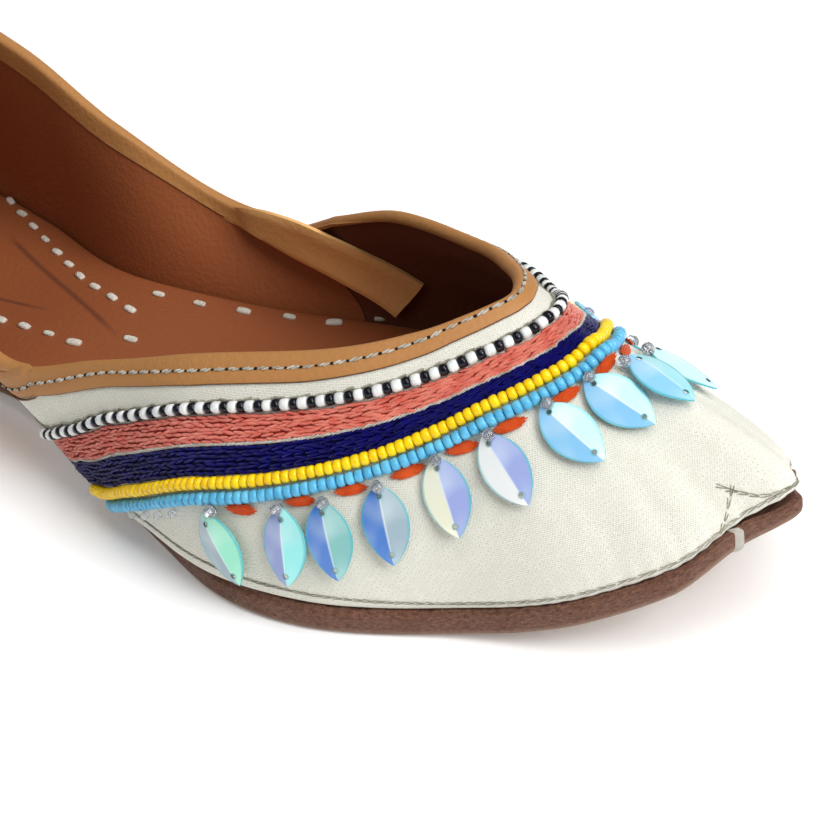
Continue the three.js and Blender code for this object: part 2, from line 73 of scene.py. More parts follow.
RIB_COLUMNS = ("u", "foot_x", "foot_y", "top_x", "top_y", "top_z", "base", "lean", "crest", "drop")
QUARTER_RIBS = (
    (0.000, 0.000, 0.000, 0.012, 0.000, 1.000, 18, 9, 14, 82),
    (0.068, 0.024, 0.430, 0.034, 0.370, 0.983, 17, 9, 14, 82),
    (0.157, 0.112, 0.705, 0.114, 0.590, 0.914, 15, 7, 14, 80),
    (0.254, 0.220, 0.690, 0.216, 0.660, 0.802, 13, 5, 12, 78),
    (0.379, 0.360, 0.540, 0.324, 0.670, 0.621, 11, 8, 10, 70),
)
VAMP_RIBS = (
    (0.532, 0.528, 0.806, 0.463, 0.750, 0.525, 5.5, 8, 8.5, 57),
    (0.590, 0.588, 0.910, 0.533, 0.690, 0.623, 12, 8, 9, 48),
    (0.657, 0.664, 1.000, 0.615, 0.620, 0.790, 15, 8, 10, 40),
    (0.725, 0.740, 0.950, 0.708, 0.450, 0.877, 15, 7, 11, 36),
    (0.807, 0.828, 0.730, 0.758, 0.280, 0.936, 12, 5, 12, 36),
    (0.886, 0.912, 0.560, 0.782, 0.150, 0.979, 10, 3, 13, 37),
    (0.936, 0.961, 0.360, 0.792, 0.068, 0.998, 8, 2, 14, 38),
    (1.000, 0.977, 0.000, 0.796, 0.000, 1.004, 8, 3, 14, 38),
)


def rib_rows(rows, height):
    table = np.array(rows, float)
    table[:, [1, 3]] = (table[:, [1, 3]] - 0.5) * LENGTH
    table[:, [2, 4]] *= HALF_BALL
    table[:, 5] *= height
    table[:, [7, 9]] = np.radians(table[:, [7, 9]])
    return table


def mirrored(rows, axis):
    table = rows[::-1].copy()
    table[:, 0] = 2 * axis - table[:, 0]
    table[:, [2, 4]] *= -1
    return table


ROWS = np.vstack([rib_rows(QUARTER_RIBS, HEEL_HEIGHT), rib_rows(VAMP_RIBS, THROAT_HEIGHT)])
KNOTS = np.vstack([mirrored(ROWS[1:3], 0), ROWS, mirrored(ROWS[-3:-1], 1)])
print("ribs:", len(ROWS))


# %% Curves between the ribs
def smooth_column(name, u):
    """One column of the table at any u, as a smooth cubic."""
    knots, values = KNOTS[:, 0], KNOTS[:, RIB_COLUMNS.index(name)]
    step = np.diff(knots)
    rate = np.diff(values) / step
    inner = (rate[1:] * step[:-1] + rate[:-1] * step[1:]) / (step[:-1] + step[1:])
    slope = np.concatenate([rate[:1], inner, rate[-1:]])
    i = np.clip(np.searchsorted(knots, u, side="right") - 1, 1, len(knots) - 3)
    t = (u - knots[i]) / step[i]
    keep = 2 * t**3 - 3 * t**2 + 1
    bend = (t**3 - 2 * t**2 + t) * slope[i] + (t**3 - t**2) * slope[i + 1]
    return keep * values[i] + (1 - keep) * values[i + 1] + bend * step[i]


def smooth_step(value, low, high):
    t = np.clip((np.asarray(value, float) - low) / (high - low), 0, 1)
    return t * t * (3 - 2 * t)


def sole_bottom(x):
    tip = HALF_LENGTH - x
    spring = TOE_SPRING * (np.maximum(SPRING_RUN - tip, 0) / SPRING_RUN) ** 2
    spring = spring + KICK_RISE * (1 - smooth_step(tip, KICK_END, KICK_START))
    share = np.clip((tip - ARCH_FRONT) / (ARCH_BACK - ARCH_FRONT), 0, 1)
    return spring + ARCH_RISE * np.sin(np.pi * share) ** 2


def outline(u, outward):
    """Edge of the sole at u, moved outward, and its direction outward."""
    near = 0.001
    here = np.stack([smooth_column("foot_x", u), smooth_column("foot_y", u)], -1)
    dx = smooth_column("foot_x", u + near) - smooth_column("foot_x", u - near)
    dy = smooth_column("foot_y", u + near) - smooth_column("foot_y", u - near)
    normal = np.stack([-dy, dx], -1) / np.hypot(dx, dy)[..., None]
    return here + normal * np.asarray(outward, float)[..., None], normal


def tab_share(u, y):
    """How much of the pointed tab belongs to a place of the outline."""
    return np.where(u > 0.5, np.exp(-((y / TAB_HALF) ** 2)), 0.0)


def swung(points):
    """Both sides are drawn alike, then toe and heel swing to the inner side."""
    points = np.array(points, float)
    points[..., 1] += SWING * (points[..., 0] / HALF_LENGTH) ** 2 - SWING_CENTRE
    return points


# %% The wall as a fine net of ribs
RIB_U = np.linspace(-0.06, 1.06, 1345)
SHARES = np.linspace(0, 1, 121)


def rib_net():
    feet, normal = outline(RIB_U, np.full(RIB_U.shape, -FEATHER))
    feet[:, 0] += CLOTH_POINT * tab_share(RIB_U, feet[:, 1])
    foot = np.column_stack([feet, sole_bottom(feet[:, 0]) + SOLE_THICK + SEAT])
    top = np.column_stack([smooth_column(c, RIB_U) for c in ("top_x", "top_y", "top_z")])
    lean, drop = smooth_column("lean", RIB_U), smooth_column("drop", RIB_U)
    rise = np.column_stack([normal * np.sin(lean)[:, None], np.cos(lean)])
    level = np.column_stack([(foot - top)[:, :2], np.zeros(len(RIB_U))])
    level /= np.maximum(np.linalg.norm(level, axis=1), 6)[:, None]
    fall = level * np.cos(drop)[:, None] - np.array([0, 0, 1]) * np.sin(drop)[:, None]
    crest = top + fall * smooth_column("crest", RIB_U)[:, None]
    base = foot + rise * smooth_column("base", RIB_U)[:, None]
    t = np.linspace(0, 1, 161)[None, :, None]
    a, b, c, d = (p[:, None] for p in (top, crest, base, foot))
    curve = (1 - t) ** 3 * a + 3 * t * (1 - t) ** 2 * b + 3 * t * t * (1 - t) * c + t**3 * d
    pieces = np.linalg.norm(np.diff(curve, axis=1), axis=2)
    run = np.concatenate([np.zeros((len(curve), 1)), np.cumsum(pieces, axis=1)], 1)
    net = np.empty((len(curve), len(SHARES), 3))
    for i, line in enumerate(curve):
        for axis in range(3):
            net[i, :, axis] = np.interp(SHARES * run[i, -1], run[i], line[:, axis])
    return net, run[:, -1]


NET, NET_LENGTH = rib_net()


def rib_length(u):
    return np.interp(u, RIB_U, NET_LENGTH)


def wall(u, down):
    """Point of the wall at u, a distance down from the topline."""
    along = (u - RIB_U[0]) / (RIB_U[1] - RIB_U[0])
    i = np.clip(along.astype(int), 0, len(RIB_U) - 2)
    across = down / rib_length(u) * (len(SHARES) - 1)
    j = np.clip(across.astype(int), 0, len(SHARES) - 2)
    a, b = (along - i)[..., None], (across - j)[..., None]
    upper = (1 - b) * NET[i, j] + b * NET[i, j + 1]
    lower = (1 - b) * NET[i + 1, j] + b * NET[i + 1, j + 1]
    return (1 - a) * upper + a * lower


def wall_normal(u, down):
    near_u, near_down = 0.003, 0.4
    inside = np.clip(down, near_down, rib_length(u) - near_down)
    along = wall(u + near_u, inside) - wall(u - near_u, inside)
    below = wall(u, inside + near_down) - wall(u, inside - near_down)
    normal = np.cross(along, below)
    return normal / np.linalg.norm(normal, axis=-1, keepdims=True)


def folded(w):
    """w runs round the shoe: 0 to 1 is the outer side, past 1 or below 0 is the inner side."""
    w = np.asarray(w, float)
    return np.where(w <= 1, np.abs(w), 2 - w), np.where((w < 0) | (w > 1), 1.0, -1.0)


OUTER_LIFT, LIFT_U, LIFT_REACH = 1.8, 0.585, 0.045  # the outer topline stands up before the wing
INNER_DROP = 4.8  # the inner side of the vamp falls off sooner below its topline
DROP_REAR, DROP_FRONT = (0.58, 0.68), (0.80, 0.94)  # where along the shoe it sets in and ends
DROP_SHOULDER, DROP_SIDE, DROP_FOOT = (1, 9), (9, 19), (19, 36)  # and how far down
SHOULDER_SHARE = 0.6  # so much of it is reached at the shoulder, the rest at the side


def around(w, down, height=0.0):
    """Point of the shoe at w, a distance down from the topline and a height over the wall."""
    w, down, height = np.broadcast_arrays(
        *(np.asarray(v, float) for v in (w, down, height)))
    u, side = folded(w)
    points = wall(u, down) + wall_normal(u, down) * height[..., None]
    points[..., 1] *= side
    lift = OUTER_LIFT * np.exp(-((u - LIFT_U) / LIFT_REACH) ** 2) * (side < 0)
    points[..., 2] += lift * np.clip(1 - down / rib_length(u), 0, 1) ** 2
    drop = INNER_DROP * (side > 0) * smooth_step(u, *DROP_REAR) * (1 - smooth_step(u, *DROP_FRONT))
    below = SHOULDER_SHARE * smooth_step(down, *DROP_SHOULDER)
    below = below + (1 - SHOULDER_SHARE) * smooth_step(down, *DROP_SIDE)
    points[..., 2] -= drop * below * (1 - smooth_step(down, *DROP_FOOT))
    return swung(points)


def facing(w, down):
    """Direction outward at w and down."""
    w, down = np.broadcast_arrays(np.asarray(w, float), np.asarray(down, float))
    u, side = folded(w)
    normal = wall_normal(u, down)
    normal[..., 1] *= side
    return normal


print("heel rib", round(float(rib_length(0.0)), 1), "mm, toe rib", round(float(rib_length(1.0)), 1), "mm")


# %% Smooth paths through a few places
def smooth_path(rows, count):
    """A soft curve through listed rows of numbers."""
    rows = np.array(rows, float)
    ends = np.vstack([2 * rows[0] - rows[1], rows, 2 * rows[-1] - rows[-2]])
    t = np.linspace(0, len(rows) - 1, count)
    i = np.minimum(t.astype(int), len(rows) - 2)
    f = (t - i)[:, None]
    a, b, c, d = (ends[i + k] for k in range(4))
    return 0.5 * (2 * b + (c - a) * f + (2 * a - 5 * b + 4 * c - d) * f**2 + (3 * b - a - 3 * c + d) * f**3)


# %% [markdown]
# ## Lines for the trim
# The bead rows and bands run below the topline and close up toward the throat. Two numbers say how far
# the first and the last row lie from the edge, on the wing and at the throat. All other lines lie
# between those two, so moving one number moves the whole pattern.

# %% Trim lines
WING_COLLAR, WING_REAR, WING_FALL = 0.537, 0.47, 7.0
INNER_COLLAR, INNER_FALL = 0.60, 9.0  # the inner wing falls earlier
TRIM_FROM, TRIM_TO = 0.67, 0.87
FIRST_ROW = {"wing": 10.2, "throat": 8.2}
LAST_ROW = {"wing": 24.6, "throat": 18.7}
SINK, SINK_FROM, SINK_TO = 2.7, 0.525, 0.60  # the rows sink toward the rear of the wing


def wing_edge(w):
    """How far the rear edge of a wing has fallen below the topline."""
    u, side = folded(w)
    outer = WING_FALL * np.clip((WING_COLLAR - u) / (WING_COLLAR - WING_REAR), 0, 1)
    inner = INNER_FALL * np.clip((INNER_COLLAR - u) / (INNER_COLLAR - WING_REAR), 0, 1)
    return np.where(side > 0, inner, outer)


def narrowed(u, ends):
    return ends["wing"] + (ends["throat"] - ends["wing"]) * smooth_step(u, TRIM_FROM, TRIM_TO)


def trim_line(w, share, below=0.0):
    """Distance down to a line: a share of the way from the first to the last row, then a bit below."""
    u, _ = folded(w)
    first, last = narrowed(u, FIRST_ROW), narrowed(u, LAST_ROW)
    sink = SINK * (1 - smooth_step(u, SINK_FROM, SINK_TO))
    return wing_edge(w) + sink + first + share * (last - first) + below


BINDING_U = (0.53, 0.60, 0.66, 0.72, 0.79, 0.85, 0.93, 1.0)
BINDING_LOW = (5.6, 5.0, 6.2, 6.2, 5.3, 4.3, 3.9, 3.9)
STITCH_ABOVE = 2.35


def binding_low(w):
    u, _ = folded(w)
    return wing_edge(w) + np.interp(u, BINDING_U, BINDING_LOW)


print("blue row at the throat:", round(float(trim_line(1.0, 1.0)), 1), "mm below the topline")

# %% [markdown]
# ## Finishes that several pieces share
# Leather grain, woven cloth, twisted thread and the cut edge of a sole are each one small node group.
# A group gives a height for a Bump node and a tone to mix two colours. Painting these by hand would
# tie them to one mesh, while a group is placed in any material with its own scale.


# %% Node helpers
def linear(hex_colour):
    values = [int(hex_colour[i:i + 2], 16) / 255 for i in (0, 2, 4)]
    return tuple(((v + 0.055) / 1.055) ** 2.4 if v > 0.04045 else v / 12.92 for v in values) + (1.0,)


def add_node(tree, kind, inputs=None, **settings):
    node = tree.nodes.new(kind)
    for key, value in settings.items():
        setattr(node, key, value)
    for key, value in (inputs or {}).items():
        if isinstance(value, bpy.types.NodeSocket):
            tree.links.new(value, node.inputs[key])
        else:
            node.inputs[key].default_value = value
    return node


def new_group(name, outputs, **sizes):
    """A shader group with a Vector, a few sizes with their defaults, and number outputs."""
    tree = bpy.data.node_groups.new(name, "ShaderNodeTree")
    tree.interface.new_socket("Vector", in_out="INPUT", socket_type="NodeSocketVector")
    for label, value in sizes.items():
        socket = tree.interface.new_socket(label, in_out="INPUT", socket_type="NodeSocketFloat")
        socket.default_value = value
    for label in outputs:
        tree.interface.new_socket(label, in_out="OUTPUT", socket_type="NodeSocketFloat")
    return tree, tree.nodes.new("NodeGroupInput").outputs, tree.nodes.new("NodeGroupOutput")


def give(tree, node, **values):
    """Link values to the inputs of a node: base_color=... goes to Base Color."""
    for key, value in values.items():
        tree.links.new(value, node.inputs[key.replace("_", " ").title()])


def math(tree, operation, a, b=0.0, c=0.5):
    """c is added by MULTIPLY_ADD alone."""
    return add_node(tree, "ShaderNodeMath", {0: a, 1: b, 2: c}, operation=operation).outputs[0]


def ramp(tree, value, low, high, to_low=0.0, to_high=1.0):
    inputs = {"Value": value, "From Min": low, "From Max": high, "To Min": to_low, "To Max": to_high}
    return add_node(tree, "ShaderNodeMapRange", inputs).outputs["Result"]


def times(tree, a, b):
    return math(tree, "MULTIPLY", a, b)


def noise(tree, vector, scale, detail=2.0, roughness=0.5):
    inputs = {"Vector": vector, "Scale": scale, "Detail": detail, "Roughness": roughness}
    return add_node(tree, "ShaderNodeTexNoise", inputs).outputs["Fac"]


# %% Leather grain
GRAIN, given, result = new_group("Leather_Grain", ["Height", "Tone"], Pores=900.0, Patches=60.0)
pores = add_node(GRAIN, "ShaderNodeTexVoronoi", {"Vector": given["Vector"], "Scale": given["Pores"]})
fine = noise(GRAIN, given["Vector"], given["Pores"], 3.0)
patches = noise(GRAIN, given["Vector"], given["Patches"], 6.0, 0.62)
mixed = math(GRAIN, "ADD", patches, math(GRAIN, "MULTIPLY_ADD", fine, 0.35))
give(GRAIN, result, height=math(GRAIN, "ADD", pores.outputs["Distance"], times(GRAIN, fine, 0.7)),
     tone=ramp(GRAIN, mixed, 0.42, 0.95))
print("group:", GRAIN.name)

# %% Woven cloth
WEAVE_TURN = 0.42  # radians between the weave and the length of the shoe
WEAVE_WAVE = 12.566  # two waves for each thread, in radians
WEAVE, given, result = new_group("Cloth_Weave", ["Height", "Specks", "Tone"], Thread=0.8)
scaled = add_node(WEAVE, "ShaderNodeVectorMath", {0: given["Vector"]}, operation="SCALE")
give(WEAVE, scaled, scale=math(WEAVE, "DIVIDE", 1.0, given["Thread"]))
turned = add_node(WEAVE, "ShaderNodeMapping",
                  {"Vector": scaled.outputs[0], "Rotation": (0.0, 0.0, WEAVE_TURN)}).outputs[0]
parts = add_node(WEAVE, "ShaderNodeSeparateXYZ", {0: turned}).outputs
warp, weft = (math(WEAVE, "SINE", times(WEAVE, parts[axis], WEAVE_WAVE)) for axis in "XY")
dots = add_node(WEAVE, "ShaderNodeTexVoronoi", {"Vector": turned, "Scale": 1.0, "Randomness": 0.45},
                voronoi_dimensions="2D")
dot = ramp(WEAVE, dots.outputs["Distance"], 0.06, 0.2, 1.0, 0.0)
soft = noise(WEAVE, turned, 0.35, 5.0)
give(WEAVE, result, height=math(WEAVE, "MULTIPLY_ADD", times(WEAVE, warp, weft), 0.5),
     specks=times(WEAVE, dot, ramp(WEAVE, soft, 0.35, 0.65, 0.2, 1.0)), tone=soft)
print("group:", WEAVE.name)

# %% Twisted thread and cut edge
PLY_WAVE = 18.85  # three plies round a thread, in radians
TWIST, given, result = new_group("Thread_Twist", ["Height"], Turns=4.0)
parts = add_node(TWIST, "ShaderNodeSeparateXYZ", {0: given["Vector"]}).outputs
turn = math(TWIST, "ADD", times(TWIST, parts["X"], given["Turns"]), parts["Y"])
wave = math(TWIST, "SINE", times(TWIST, turn, PLY_WAVE))
give(TWIST, result, height=math(TWIST, "MULTIPLY_ADD", wave, 0.5))

FIBRE, given, result = new_group("Cut_Edge_Fibre", ["Height", "Flecks", "Tone"])
stretched = add_node(FIBRE, "ShaderNodeMapping",
                     {"Vector": given["Vector"], "Scale": (0.9, 2.2, 1.0)}).outputs[0]
give(FIBRE, result, height=noise(FIBRE, stretched, 1.1, 7.0, 0.7),
     flecks=ramp(FIBRE, noise(FIBRE, stretched, 2.3), 0.6, 0.72),
     tone=ramp(FIBRE, noise(FIBRE, given["Vector"], 0.12, 4.0), 0.3, 0.7))
print("groups:", TWIST.name, FIBRE.name)


# %% Materials from the groups
def new_material(name, shine=0.5, **fixed):
    material = bpy.data.materials.new(name)
    material.use_nodes = True
    tree = material.node_tree
    shader = tree.nodes["Principled BSDF"]
    shader.inputs["Specular IOR Level"].default_value = shine
    for key, value in fixed.items():
        shader.inputs[key.replace("_", " ").title()].default_value = value
    return material, tree, shader


def use_group(tree, group, vector, **values):
    node = add_node(tree, "ShaderNodeGroup", node_tree=group)
    tree.links.new(vector, node.inputs["Vector"])
    for key, value in values.items():
        node.inputs[key].default_value = value
    return node


def mix_colours(tree, factor, first, second):
    node = add_node(tree, "ShaderNodeMix", data_type="RGBA")
    tree.links.new(factor, node.inputs["Factor"])
    for socket, colour in (("A", first), ("B", second)):
        target = [s for s in node.inputs if s.name == socket and s.type == "RGBA"][0]
        if isinstance(colour, bpy.types.NodeSocket):
            tree.links.new(colour, target)
        else:
            target.default_value = linear(colour)
    return [s for s in node.outputs if s.type == "RGBA"][0]


def add_bump(tree, shader, height, distance, strength=1.0):
    bump = add_node(tree, "ShaderNodeBump", {"Height": height, "Distance": distance, "Strength": strength})
    give(tree, shader, normal=bump.outputs["Normal"])


def coordinates(tree, kind):
    return add_node(tree, "ShaderNodeTexCoord").outputs[kind]


def leather(name, light, dark, pores=1100.0, patches=70.0, roughness=(0.42, 0.62), depth=0.00012):
    material, tree, shader = new_material(name)
    grain = use_group(tree, GRAIN, coordinates(tree, "Object"), Pores=pores, Patches=patches)
    tone = grain.outputs["Tone"]
    give(tree, shader, base_color=mix_colours(tree, tone, dark, light),
         roughness=ramp(tree, tone, 0.0, 1.0, *roughness))
    add_bump(tree, shader, grain.outputs["Height"], depth, 0.6)
    return material


TAN = leather("tan_leather", "B07A42", "8E5B2B")
# painted light: the quarter's tail is a lighter tan than the binding, standing in for light on it
TAIL_TAN_PAINTED_LIGHT = leather("tail_leather_painted_light", "B87F45", "95602D")
# partly painted shade: dark brown for the binding's cut edge, its own colour with the shade under the edge
# painted in
TAN_EDGE_AND_SHADE = leather("tan_edge_and_shade", "6B4526", "44290F", patches=200.0, roughness=(0.6, 0.8))
QUARTER = leather("quarter_leather", "B98249", "97622F", patches=40.0)
LINING = leather("lining_leather", "8E4A20", "66310F", patches=38.0, roughness=(0.5, 0.72))
# painted shade: the lining under the vamp is a darker brown than the quarter's lining, for the shade inside
# the wing
VAMP_LINING_SHADE = leather("vamp_lining_painted_shade", "5F2C12", "3C1706", patches=38.0, roughness=(0.6, 0.8))
INSOLE = leather("insole_leather", "884720", "6B3311", patches=30.0, roughness=(0.45, 0.66))
# columns: start, end, half width
GROOVE_SHADE_LINES = (((-72.0, 17.5), (-24.0, 0.5), 0.9), ((-60.0, -1.0), (-43.0, 0.4), 0.7))


def paint_groove_shade(material):
    """Painted shade of pressed lines in the board: dark where the distance to a line is small."""
    tree = material.node_tree
    shader = tree.nodes["Principled BSDF"]
    place = coordinates(tree, "Object")
    colour = shader.inputs["Base Color"].links[0].from_socket
    for start, end, half in GROOVE_SHADE_LINES:
        start, end = np.array(start) * MM, np.array(end) * MM
        along = (end - start) / np.linalg.norm(end - start)
        side = np.array([-along[1], along[0]])
        ways = []
        for direction in (along, side):
            dot = add_node(tree, "ShaderNodeVectorMath", {0: place, 1: (*direction, 0.0)},
                           operation="DOT_PRODUCT")
            ways.append(math(tree, "SUBTRACT", dot.outputs["Value"], float(start @ direction)))
        reach = float(np.linalg.norm(end - start))
        near = ramp(tree, math(tree, "ABSOLUTE", ways[1]), half * MM, 0.1 * MM)
        begun = ramp(tree, ways[0], -2 * MM, 4 * MM)
        inside = times(tree, begun, ramp(tree, ways[0], reach + 2 * MM, reach - 6 * MM))
        mask = times(tree, times(tree, near, inside), 0.6)
        # painted shade: each groove line is mixed toward dark brown
        colour = mix_colours(tree, mask, colour, "3E1A08")
    give(tree, shader, base_color=colour)


def paint_light_along(material, start, end, colour):
    """Painted light: the colour lightens along the piece, between two distances of its flat pattern, as if
    light fell there.
    """
    tree = material.node_tree
    shader = tree.nodes["Principled BSDF"]
    base = shader.inputs["Base Color"].links[0].from_socket
    along = add_node(tree, "ShaderNodeSeparateXYZ", {0: coordinates(tree, "UV")}).outputs["X"]
    share = ramp(tree, along, start, end, 0.0, 0.9)
    give(tree, shader, base_color=mix_colours(tree, share, base, colour))


paint_groove_shade(INSOLE)
# painted light: the tail lightens toward the toe, between u 0.51 and 0.56, as if lit there
paint_light_along(TAIL_TAN_PAINTED_LIGHT, 0.51 * LENGTH, 0.56 * LENGTH, "FFC47C")
print("leathers:", [m.name for m in (TAN, TAIL_TAN_PAINTED_LIGHT, TAN_EDGE_AND_SHADE, QUARTER, LINING, VAMP_LINING_SHADE, INSOLE)])


# %% Cloth, sole and thread materials
def cloth(name):
    material, tree, shader = new_material(name, roughness=0.86, sheen_weight=0.12)
    weave = use_group(tree, WEAVE, coordinates(tree, "UV"), Thread=0.72)
    plain = mix_colours(tree, weave.outputs["Tone"], "DEDCCD", "F0EEE3")
    specks = times(tree, weave.outputs["Specks"], 0.5)
    give(tree, shader, base_color=mix_colours(tree, specks, plain, "8E8874"))
    add_bump(tree, shader, weave.outputs["Height"], 0.00012, 0.8)
    return material


def sole_leather(name):
    material, tree, shader = new_material(name)
    place = coordinates(tree, "UV")
    fibre = use_group(tree, FIBRE, place)
    strands = ramp(tree, fibre.outputs["Height"], 0.36, 0.64)
    brown = mix_colours(tree, strands, "4C2C20", "9A6C55")
    stained = mix_colours(tree, times(tree, fibre.outputs["Tone"], 0.45), brown, "6A3C2E")
    flecked = mix_colours(tree, times(tree, fibre.outputs["Flecks"], 0.6), stained, "C98B60")
    level = add_node(tree, "ShaderNodeSeparateXYZ", {0: place}).outputs["Y"]
    worn = times(tree, ramp(tree, level, 1.5, 0.3), 0.7)
    give(tree, shader, base_color=mix_colours(tree, worn, flecked, "B0937C"),
         roughness=ramp(tree, fibre.outputs["Tone"], 0, 1, 0.55, 0.78))
    add_bump(tree, shader, fibre.outputs["Height"], 0.0009, 0.9)
    return material


def thread(name, light, dark, turns=4.0, roughness=0.42, metallic=0.0, sheen=0.3, shine=0.5):
    material, tree, shader = new_material(
        name, shine, roughness=roughness, metallic=metallic, sheen_weight=sheen)
    twist = use_group(tree, TWIST, coordinates(tree, "UV"), Turns=turns)
    spots = noise(tree, coordinates(tree, "Object"), 500.0, 3.0)
    shade = math(tree, "ADD", times(tree, twist.outputs["Height"], 0.4), times(tree, spots, 0.8))
    give(tree, shader, base_color=mix_colours(tree, ramp(tree, shade, 0.35, 0.85), dark, light))
    add_bump(tree, shader, twist.outputs["Height"], 0.00008, 0.8)
    return material


CLOTH = cloth("vamp_cloth")
SOLE = sole_leather("sole_leather")
CORAL = thread("coral_thread", "FF9A84", "E04836", roughness=0.24, sheen=0.0, shine=0.6)
# painted shade: the bed under the coral floss is a darker red, for the shade in the gaps between stitches
CORAL_BED_SHADE = thread("coral_bed", "B23628", "8C241A", roughness=0.5, sheen=0.0, shine=0.2)
NAVY = thread("navy_thread", "0E0C7A", "010122", roughness=0.3, sheen=0.0, shine=0.18)
NAVY_BED = thread("navy_bed", "060433", "030220", roughness=0.5, sheen=0.0, shine=0.2)
ORANGE = thread("orange_thread", "FF6A28", "DB3D0E", roughness=0.38, sheen=0.0, shine=0.3)
CORD = thread("cord_thread", "FFF8EA", "A39A86", turns=6.0, roughness=0.22, sheen=0.0)
CHAIN = thread("chain_thread", "CFCBB6", "8B8670", turns=6.0, roughness=0.4, sheen=0.0)
WHITE_THREAD = thread("white_thread", "F4EFE2", "CFC6B2", roughness=0.6)
# painted shade: near-black thread colour for the shade inside the needle holes of the lockstitch
NEEDLE_HOLE_SHADE = thread("needle_hole_shade", "120B06", "060302", roughness=0.9, sheen=0.0)
print("threads and cloth ready")


# %% Glass and sequin materials
def glass_bead(name, light, dark, roughness=0.16, transmission=0.0, shine=0.45):
    material, tree, shader = new_material(
        name, shine, roughness=roughness, transmission_weight=transmission)
    tone = ramp(tree, noise(tree, coordinates(tree, "Object"), 420.0), 0.35, 0.65)
    give(tree, shader, base_color=mix_colours(tree, tone, dark, light))
    return material


def sequin_film(name):
    material, tree, shader = new_material(
        name, roughness=0.22, metallic=0.1, coat_weight=0.15, coat_roughness=0.06)
    # the two halves' colours hold the film's tint with painted facet light
    film_and_facet_light = add_node(tree, "ShaderNodeAttribute", attribute_name="film_and_facet_light").outputs["Color"]
    across = add_node(tree, "ShaderNodeAttribute", attribute_name="across").outputs["Fac"]
    place = coordinates(tree, "UV")
    pale = times(tree, ramp(tree, noise(tree, place, 0.16, 1.0), 0.45, 0.75), 0.3)
    sheet = mix_colours(tree, pale, film_and_facet_light, "F2FFFF")
    rim = times(tree, ramp(tree, across, 0.86, 0.97), 0.7)
    rimmed = mix_colours(tree, rim, sheet, "4FB7C2")
    # painted highlight: a near-white line along the crease of the film
    crease = times(tree, ramp(tree, across, 0.07, 0.02), 0.4)
    crease_highlighted = mix_colours(tree, crease, rimmed, "FBFFFF")
    away = []
    for end in (-1, 1):
        centre = (0.0, end * (LEAF_LENGTH / 2 - HOLE_INSET), 0.0)
        node = add_node(tree, "ShaderNodeVectorMath", {0: place, 1: centre}, operation="DISTANCE")
        away.append(node.outputs["Value"])
    nearest = math(tree, "MINIMUM", *away)
    ring = times(tree, ramp(tree, nearest, HOLE_RADIUS + 0.3, HOLE_RADIUS + 0.1), 0.5)
    give(tree, shader, base_color=mix_colours(tree, ring, crease_highlighted, "3E9DA6"),
         alpha=ramp(tree, nearest, HOLE_RADIUS - 0.06, HOLE_RADIUS + 0.06))
    return material


LEAF_LENGTH, LEAF_HALF, LEAF_FOLD, LEAF_THICK = 13.4, 3.85, 0.9, 0.28
HOLE_INSET, HOLE_RADIUS = 1.9, 0.42
WHITE_BEAD = glass_bead("white_bead", "EFF1EF", "D6DAD9")
BLACK_BEAD = glass_bead("black_bead", "06061A", "020208", roughness=0.1, shine=0.35)
YELLOW_BEAD = glass_bead("yellow_bead", "FFD800", "F5C400")
BLUE_BEAD = glass_bead("blue_bead", "66C0E6", "4CA8D4")
CLEAR_BEAD = glass_bead("clear_bead", "FDFDFF", "E9EEF4", roughness=0.03, transmission=0.9)
SILVER = thread("silver_lining", "E8E8EA", "8C8C90", roughness=0.15, metallic=0.95, sheen=0.0)
SEQUIN = sequin_film("leaf_sequin")
print("glass and film ready")


# %% [markdown]
# ## Making meshes from rows of points
# Cloth, leather and bindings are all the same kind of thing here: a thin wall that is carried along the
# shoe. Each station is a ring, out along the face and back along the reverse, so that the wall is
# closed and has a real thickness. A Solidify modifier could do this too, but a ring also rounds edges.


# %% Mesh helpers
def make_piece(name, points, faces, material, uv=None, sharp=40.0):
    mesh = bpy.data.meshes.new(name)
    mesh.from_pydata((np.asarray(points).reshape(-1, 3) * MM).tolist(), [], faces)
    work = bmesh.new()
    work.from_mesh(mesh)
    bmesh.ops.recalc_face_normals(work, faces=work.faces)
    work.to_mesh(mesh)
    work.free()
    mesh.shade_smooth()
    mesh.set_sharp_from_angle(angle=np.radians(sharp))
    if uv is not None:
        corner = np.empty(len(mesh.loops), int)
        mesh.loops.foreach_get("vertex_index", corner)
        layer = mesh.uv_layers.new(name="UVMap")
        layer.data.foreach_set("uv", np.asarray(uv, float).reshape(-1, 2)[corner].ravel())
    mesh.materials.append(material)
    piece = bpy.data.objects.new(name, mesh)
    scene.collection.objects.link(piece)
    return piece


def settle(piece, slot, *nodes):
    """The piece joins the one body and stands in for the solids it is named with. slot is not used."""
    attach(piece, "root")
    if nodes:
        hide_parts(*nodes)
    print(piece.name, len(piece.data.polygons), "faces")
    return piece


def ring_faces(stations, size):
    """Faces of rings side by side. A ring goes out along one row and back along the other."""
    faces = []
    for i in range(stations - 1):
        for k in range(size):
            n = (k + 1) % size
            faces.append((i * size + k, i * size + n, (i + 1) * size + n, (i + 1) * size + k))
    for i in (0, stations - 1):
        for k in range(size // 2 - 1):
            far = size - 1 - k
            faces.append((i * size + k, i * size + k + 1, i * size + far - 1, i * size + far))
    return faces


def there_and_back(front, back):
    return np.concatenate([front, back[:, ::-1]], 1)


def skin(name, front, back, flat, material, sharp=40.0):
    """A closed wall from the points of its face and its reverse, with its flat pattern as UV."""
    rings = there_and_back(front, back)
    faces = ring_faces(*rings.shape[:2])
    return make_piece(name, rings, faces, material, there_and_back(flat, flat), sharp)


def flat_pattern(w, down):
    return np.stack([np.broadcast_to(w * LENGTH, down.shape), down], -1)


